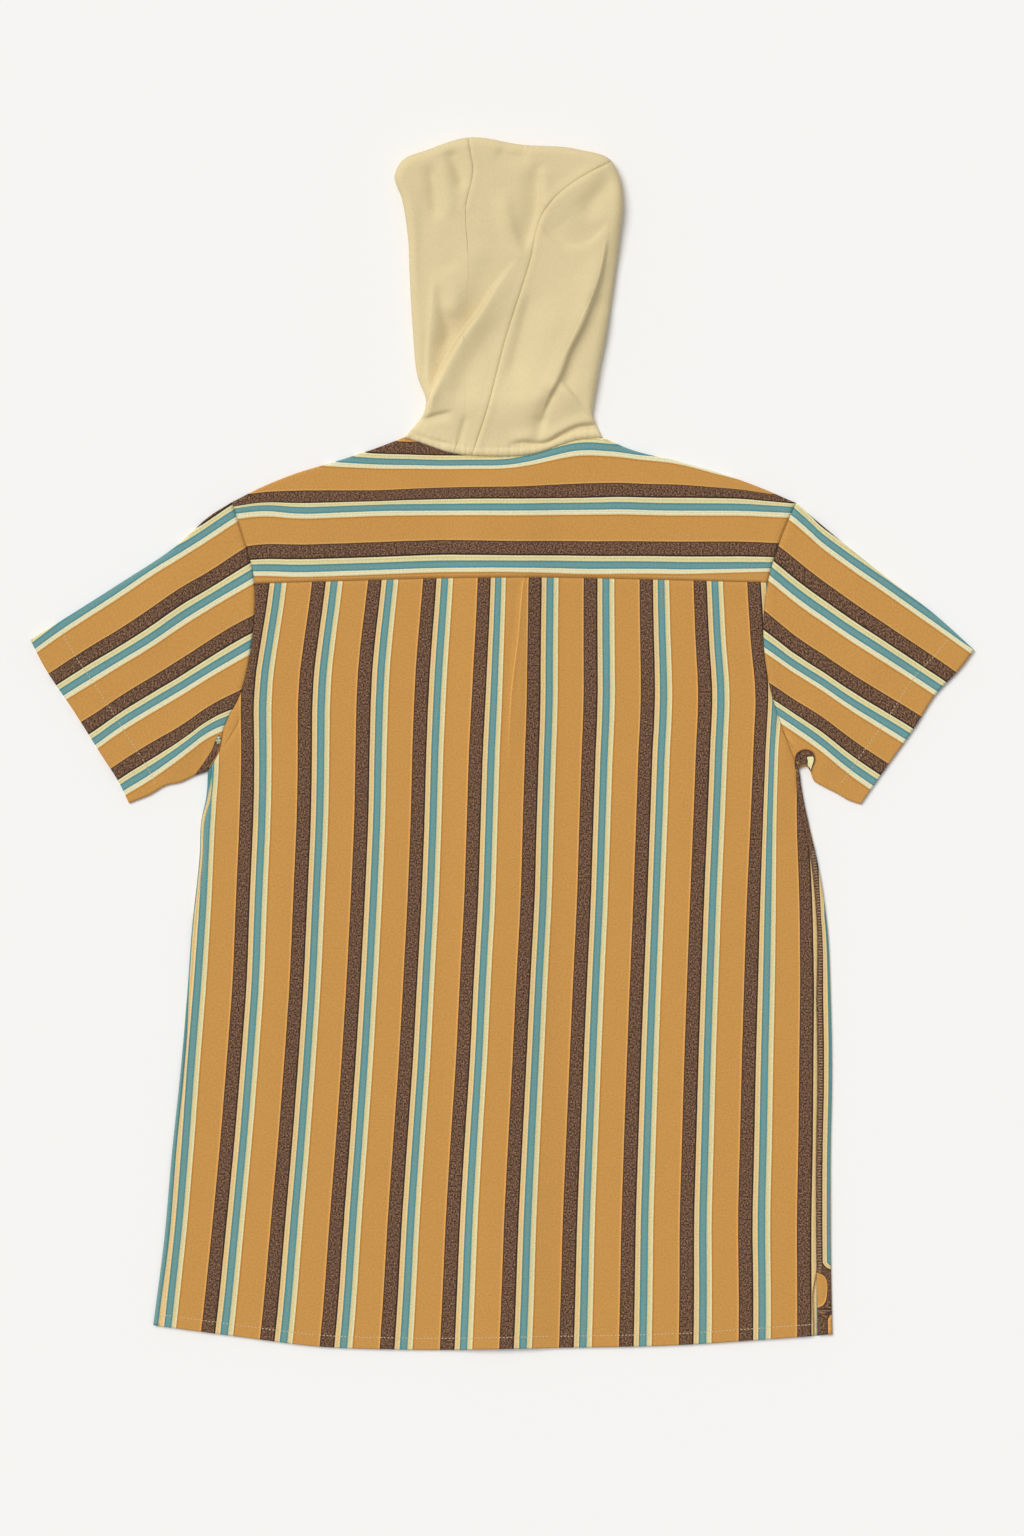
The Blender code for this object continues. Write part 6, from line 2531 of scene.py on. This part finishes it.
@dataclass
class Studio:
    """A pale floor, soft light and a camera straight above."""

    floor_size: float = 6.0
    world_strength: float = 0.42
    key_strength: float = 2.17
    key_softness: float = 0.6  # radians
    key_from: tuple = (-0.5, 0.45, 1.0)
    key_height: float = 3.0
    view_reach: float = 20.0

    def build(self) -> None:
        """Makes the floor, the lights, the world and the camera."""
        bm = bmesh.new()
        bmesh.ops.create_grid(bm, x_segments=8, y_segments=8, size=self.floor_size / 2)
        floor = to_object(bm, "floor")
        floor.data.materials.append(Paper().material())
        world = bpy.data.worlds.new("studio")
        world.use_nodes = True
        background = world.node_tree.nodes["Background"]
        background.inputs["Color"].default_value = (1, 1, 1, 1)
        background.inputs["Strength"].default_value = self.world_strength
        scene = bpy.context.scene
        scene.world = world
        scene.view_settings.view_transform = "Standard"
        scene.view_settings.look = "None"
        lamp = bpy.data.lights.new("key", "SUN")
        lamp.energy = self.key_strength
        lamp.angle = self.key_softness
        key = bpy.data.objects.new("key", lamp)
        key.location = (0, 0, self.key_height)
        key.rotation_euler = Vector(self.key_from).to_track_quat("Z", "Y").to_euler()
        scene.collection.objects.link(key)
        camera = bpy.data.cameras.new("camera")
        camera.lens = VIEW_LENS
        camera.sensor_width = VIEW_SENSOR
        camera.clip_end = self.view_reach
        stand = bpy.data.objects.new("camera", camera)
        stand.location = Vector((*VIEW_CENTER, VIEW_DISTANCE)) * MM
        scene.collection.objects.link(stand)
        scene.camera = stand


def sew_stitches(relief: Relief) -> dict[str, list[bpy.types.Object]]:
    """Sews every row of stitches that shows.

    Args:
        relief: the garment's heights.

    Returns:
        the rows of each piece, by the piece's name.
    """
    cream = Thread()
    rows: dict[str, list[bpy.types.Object]] = {}
    hem = Line([Place(place.x, place.y + HEM_STITCH) for place in HEM])
    yoke_top = Line([Place(place.x, place.y + YOKE_STITCH) for place in YOKE_SEAM])
    base = HOOD_BASE_LINE
    plans = [
        (
            "back_panel",
            StitchRow("hem_stitches", hem, 8, hem.length - 16, pitch=3.1, length=2.5, width=0.85, kept=0.8),
        ),
        (
            "yoke",
            StitchRow("yoke_stitches", yoke_top, 3, yoke_top.length - 3, pitch=2.6, length=1.9, width=0.45),
        ),
        (
            "hood_center",
            StitchRow(
                "hood_base_stitches", base, 5, base.length - 5, pitch=2.7, length=1.9, width=0.5, kept=0.8
            ),
        ),
    ]
    for half, depth in ((LEFT_HALF, LEFT_CUFF_HEM), (RIGHT_HALF, RIGHT_CUFF_HEM)):
        cuff = half.cuff.spots(CUFF_STEPS)
        line = Line(cuff - ways_in(cuff, -half.inward) * depth)
        name = "sleeve_" + half.name
        row = StitchRow(
            name + "_hem_stitches", line, 7, line.length - 6, pitch=3.1, length=2.5, width=0.8, kept=0.75
        )
        plans.append((name, row))
        seam, ways = half.side_seam(), half.side_places()[1]
        if half is LEFT_HALF:
            name, aside, start, length = "back_panel", 1.2, 12, 2.2
            line = Line(seam + ways * aside)
        else:  # from the vent's top
            name, aside, length = "front_right", -3.2, 4.6
            line = Line(seam + ways * aside)
            start = line.nearest((seam[0][0], VENT_TOP_Y))
        stop = line.length - SIDE_STITCHES_END
        across = {"pitch": 2.4, "length": length, "width": 0.4, "kept": 0.85, "turn": math.pi / 2}
        plans.append((name, StitchRow(f"side_{half.name}_stitches", line, start, stop, **across)))
    for name, row in plans:
        wall, slot = (HOOD_CLOTH, "hood_cloth") if name == "hood_center" else (CLOTH, "striped_cloth")
        rows.setdefault(name, []).append(row.sew(relief, cream, wall, slot))
    return rows


def main() -> None:
    """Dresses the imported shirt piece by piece, in its studio."""
    logging.basicConfig(level=logging.INFO)
    for thing in list(bpy.data.objects):
        bpy.data.objects.remove(thing)
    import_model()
    relief = Relief()
    striped, brushed = StripedCloth(), BrushedCloth()
    crossing = StripedCloth("striped_cloth_crossing", CROSSING_BANDS)
    stitches = sew_stitches(relief)
    stitches.setdefault("sleeve_right", []).append(ArmpitCurl().sew(relief, crossing))
    shirt = Shirt()
    for piece in (shirt.back(), shirt.front(LEFT_HALF, OUTER_LIFT), shirt.front(RIGHT_HALF, INNER_LIFT)):
        piece.dress(relief, striped, stitches.get(piece.name, ()))
    for piece in (shirt.yoke(), *(shirt.sleeve(half) for half in HALVES)):
        piece.dress(relief, crossing, stitches.get(piece.name, ()))
    hood = Hood()
    for piece in hood.panels():
        piece.dress(relief, brushed, stitches.get(piece.name, ()))
    hood.core(brushed)
    Buttons().make(Horn(), Thread())
    Studio().build()


if __name__ == "__main__":
    main()
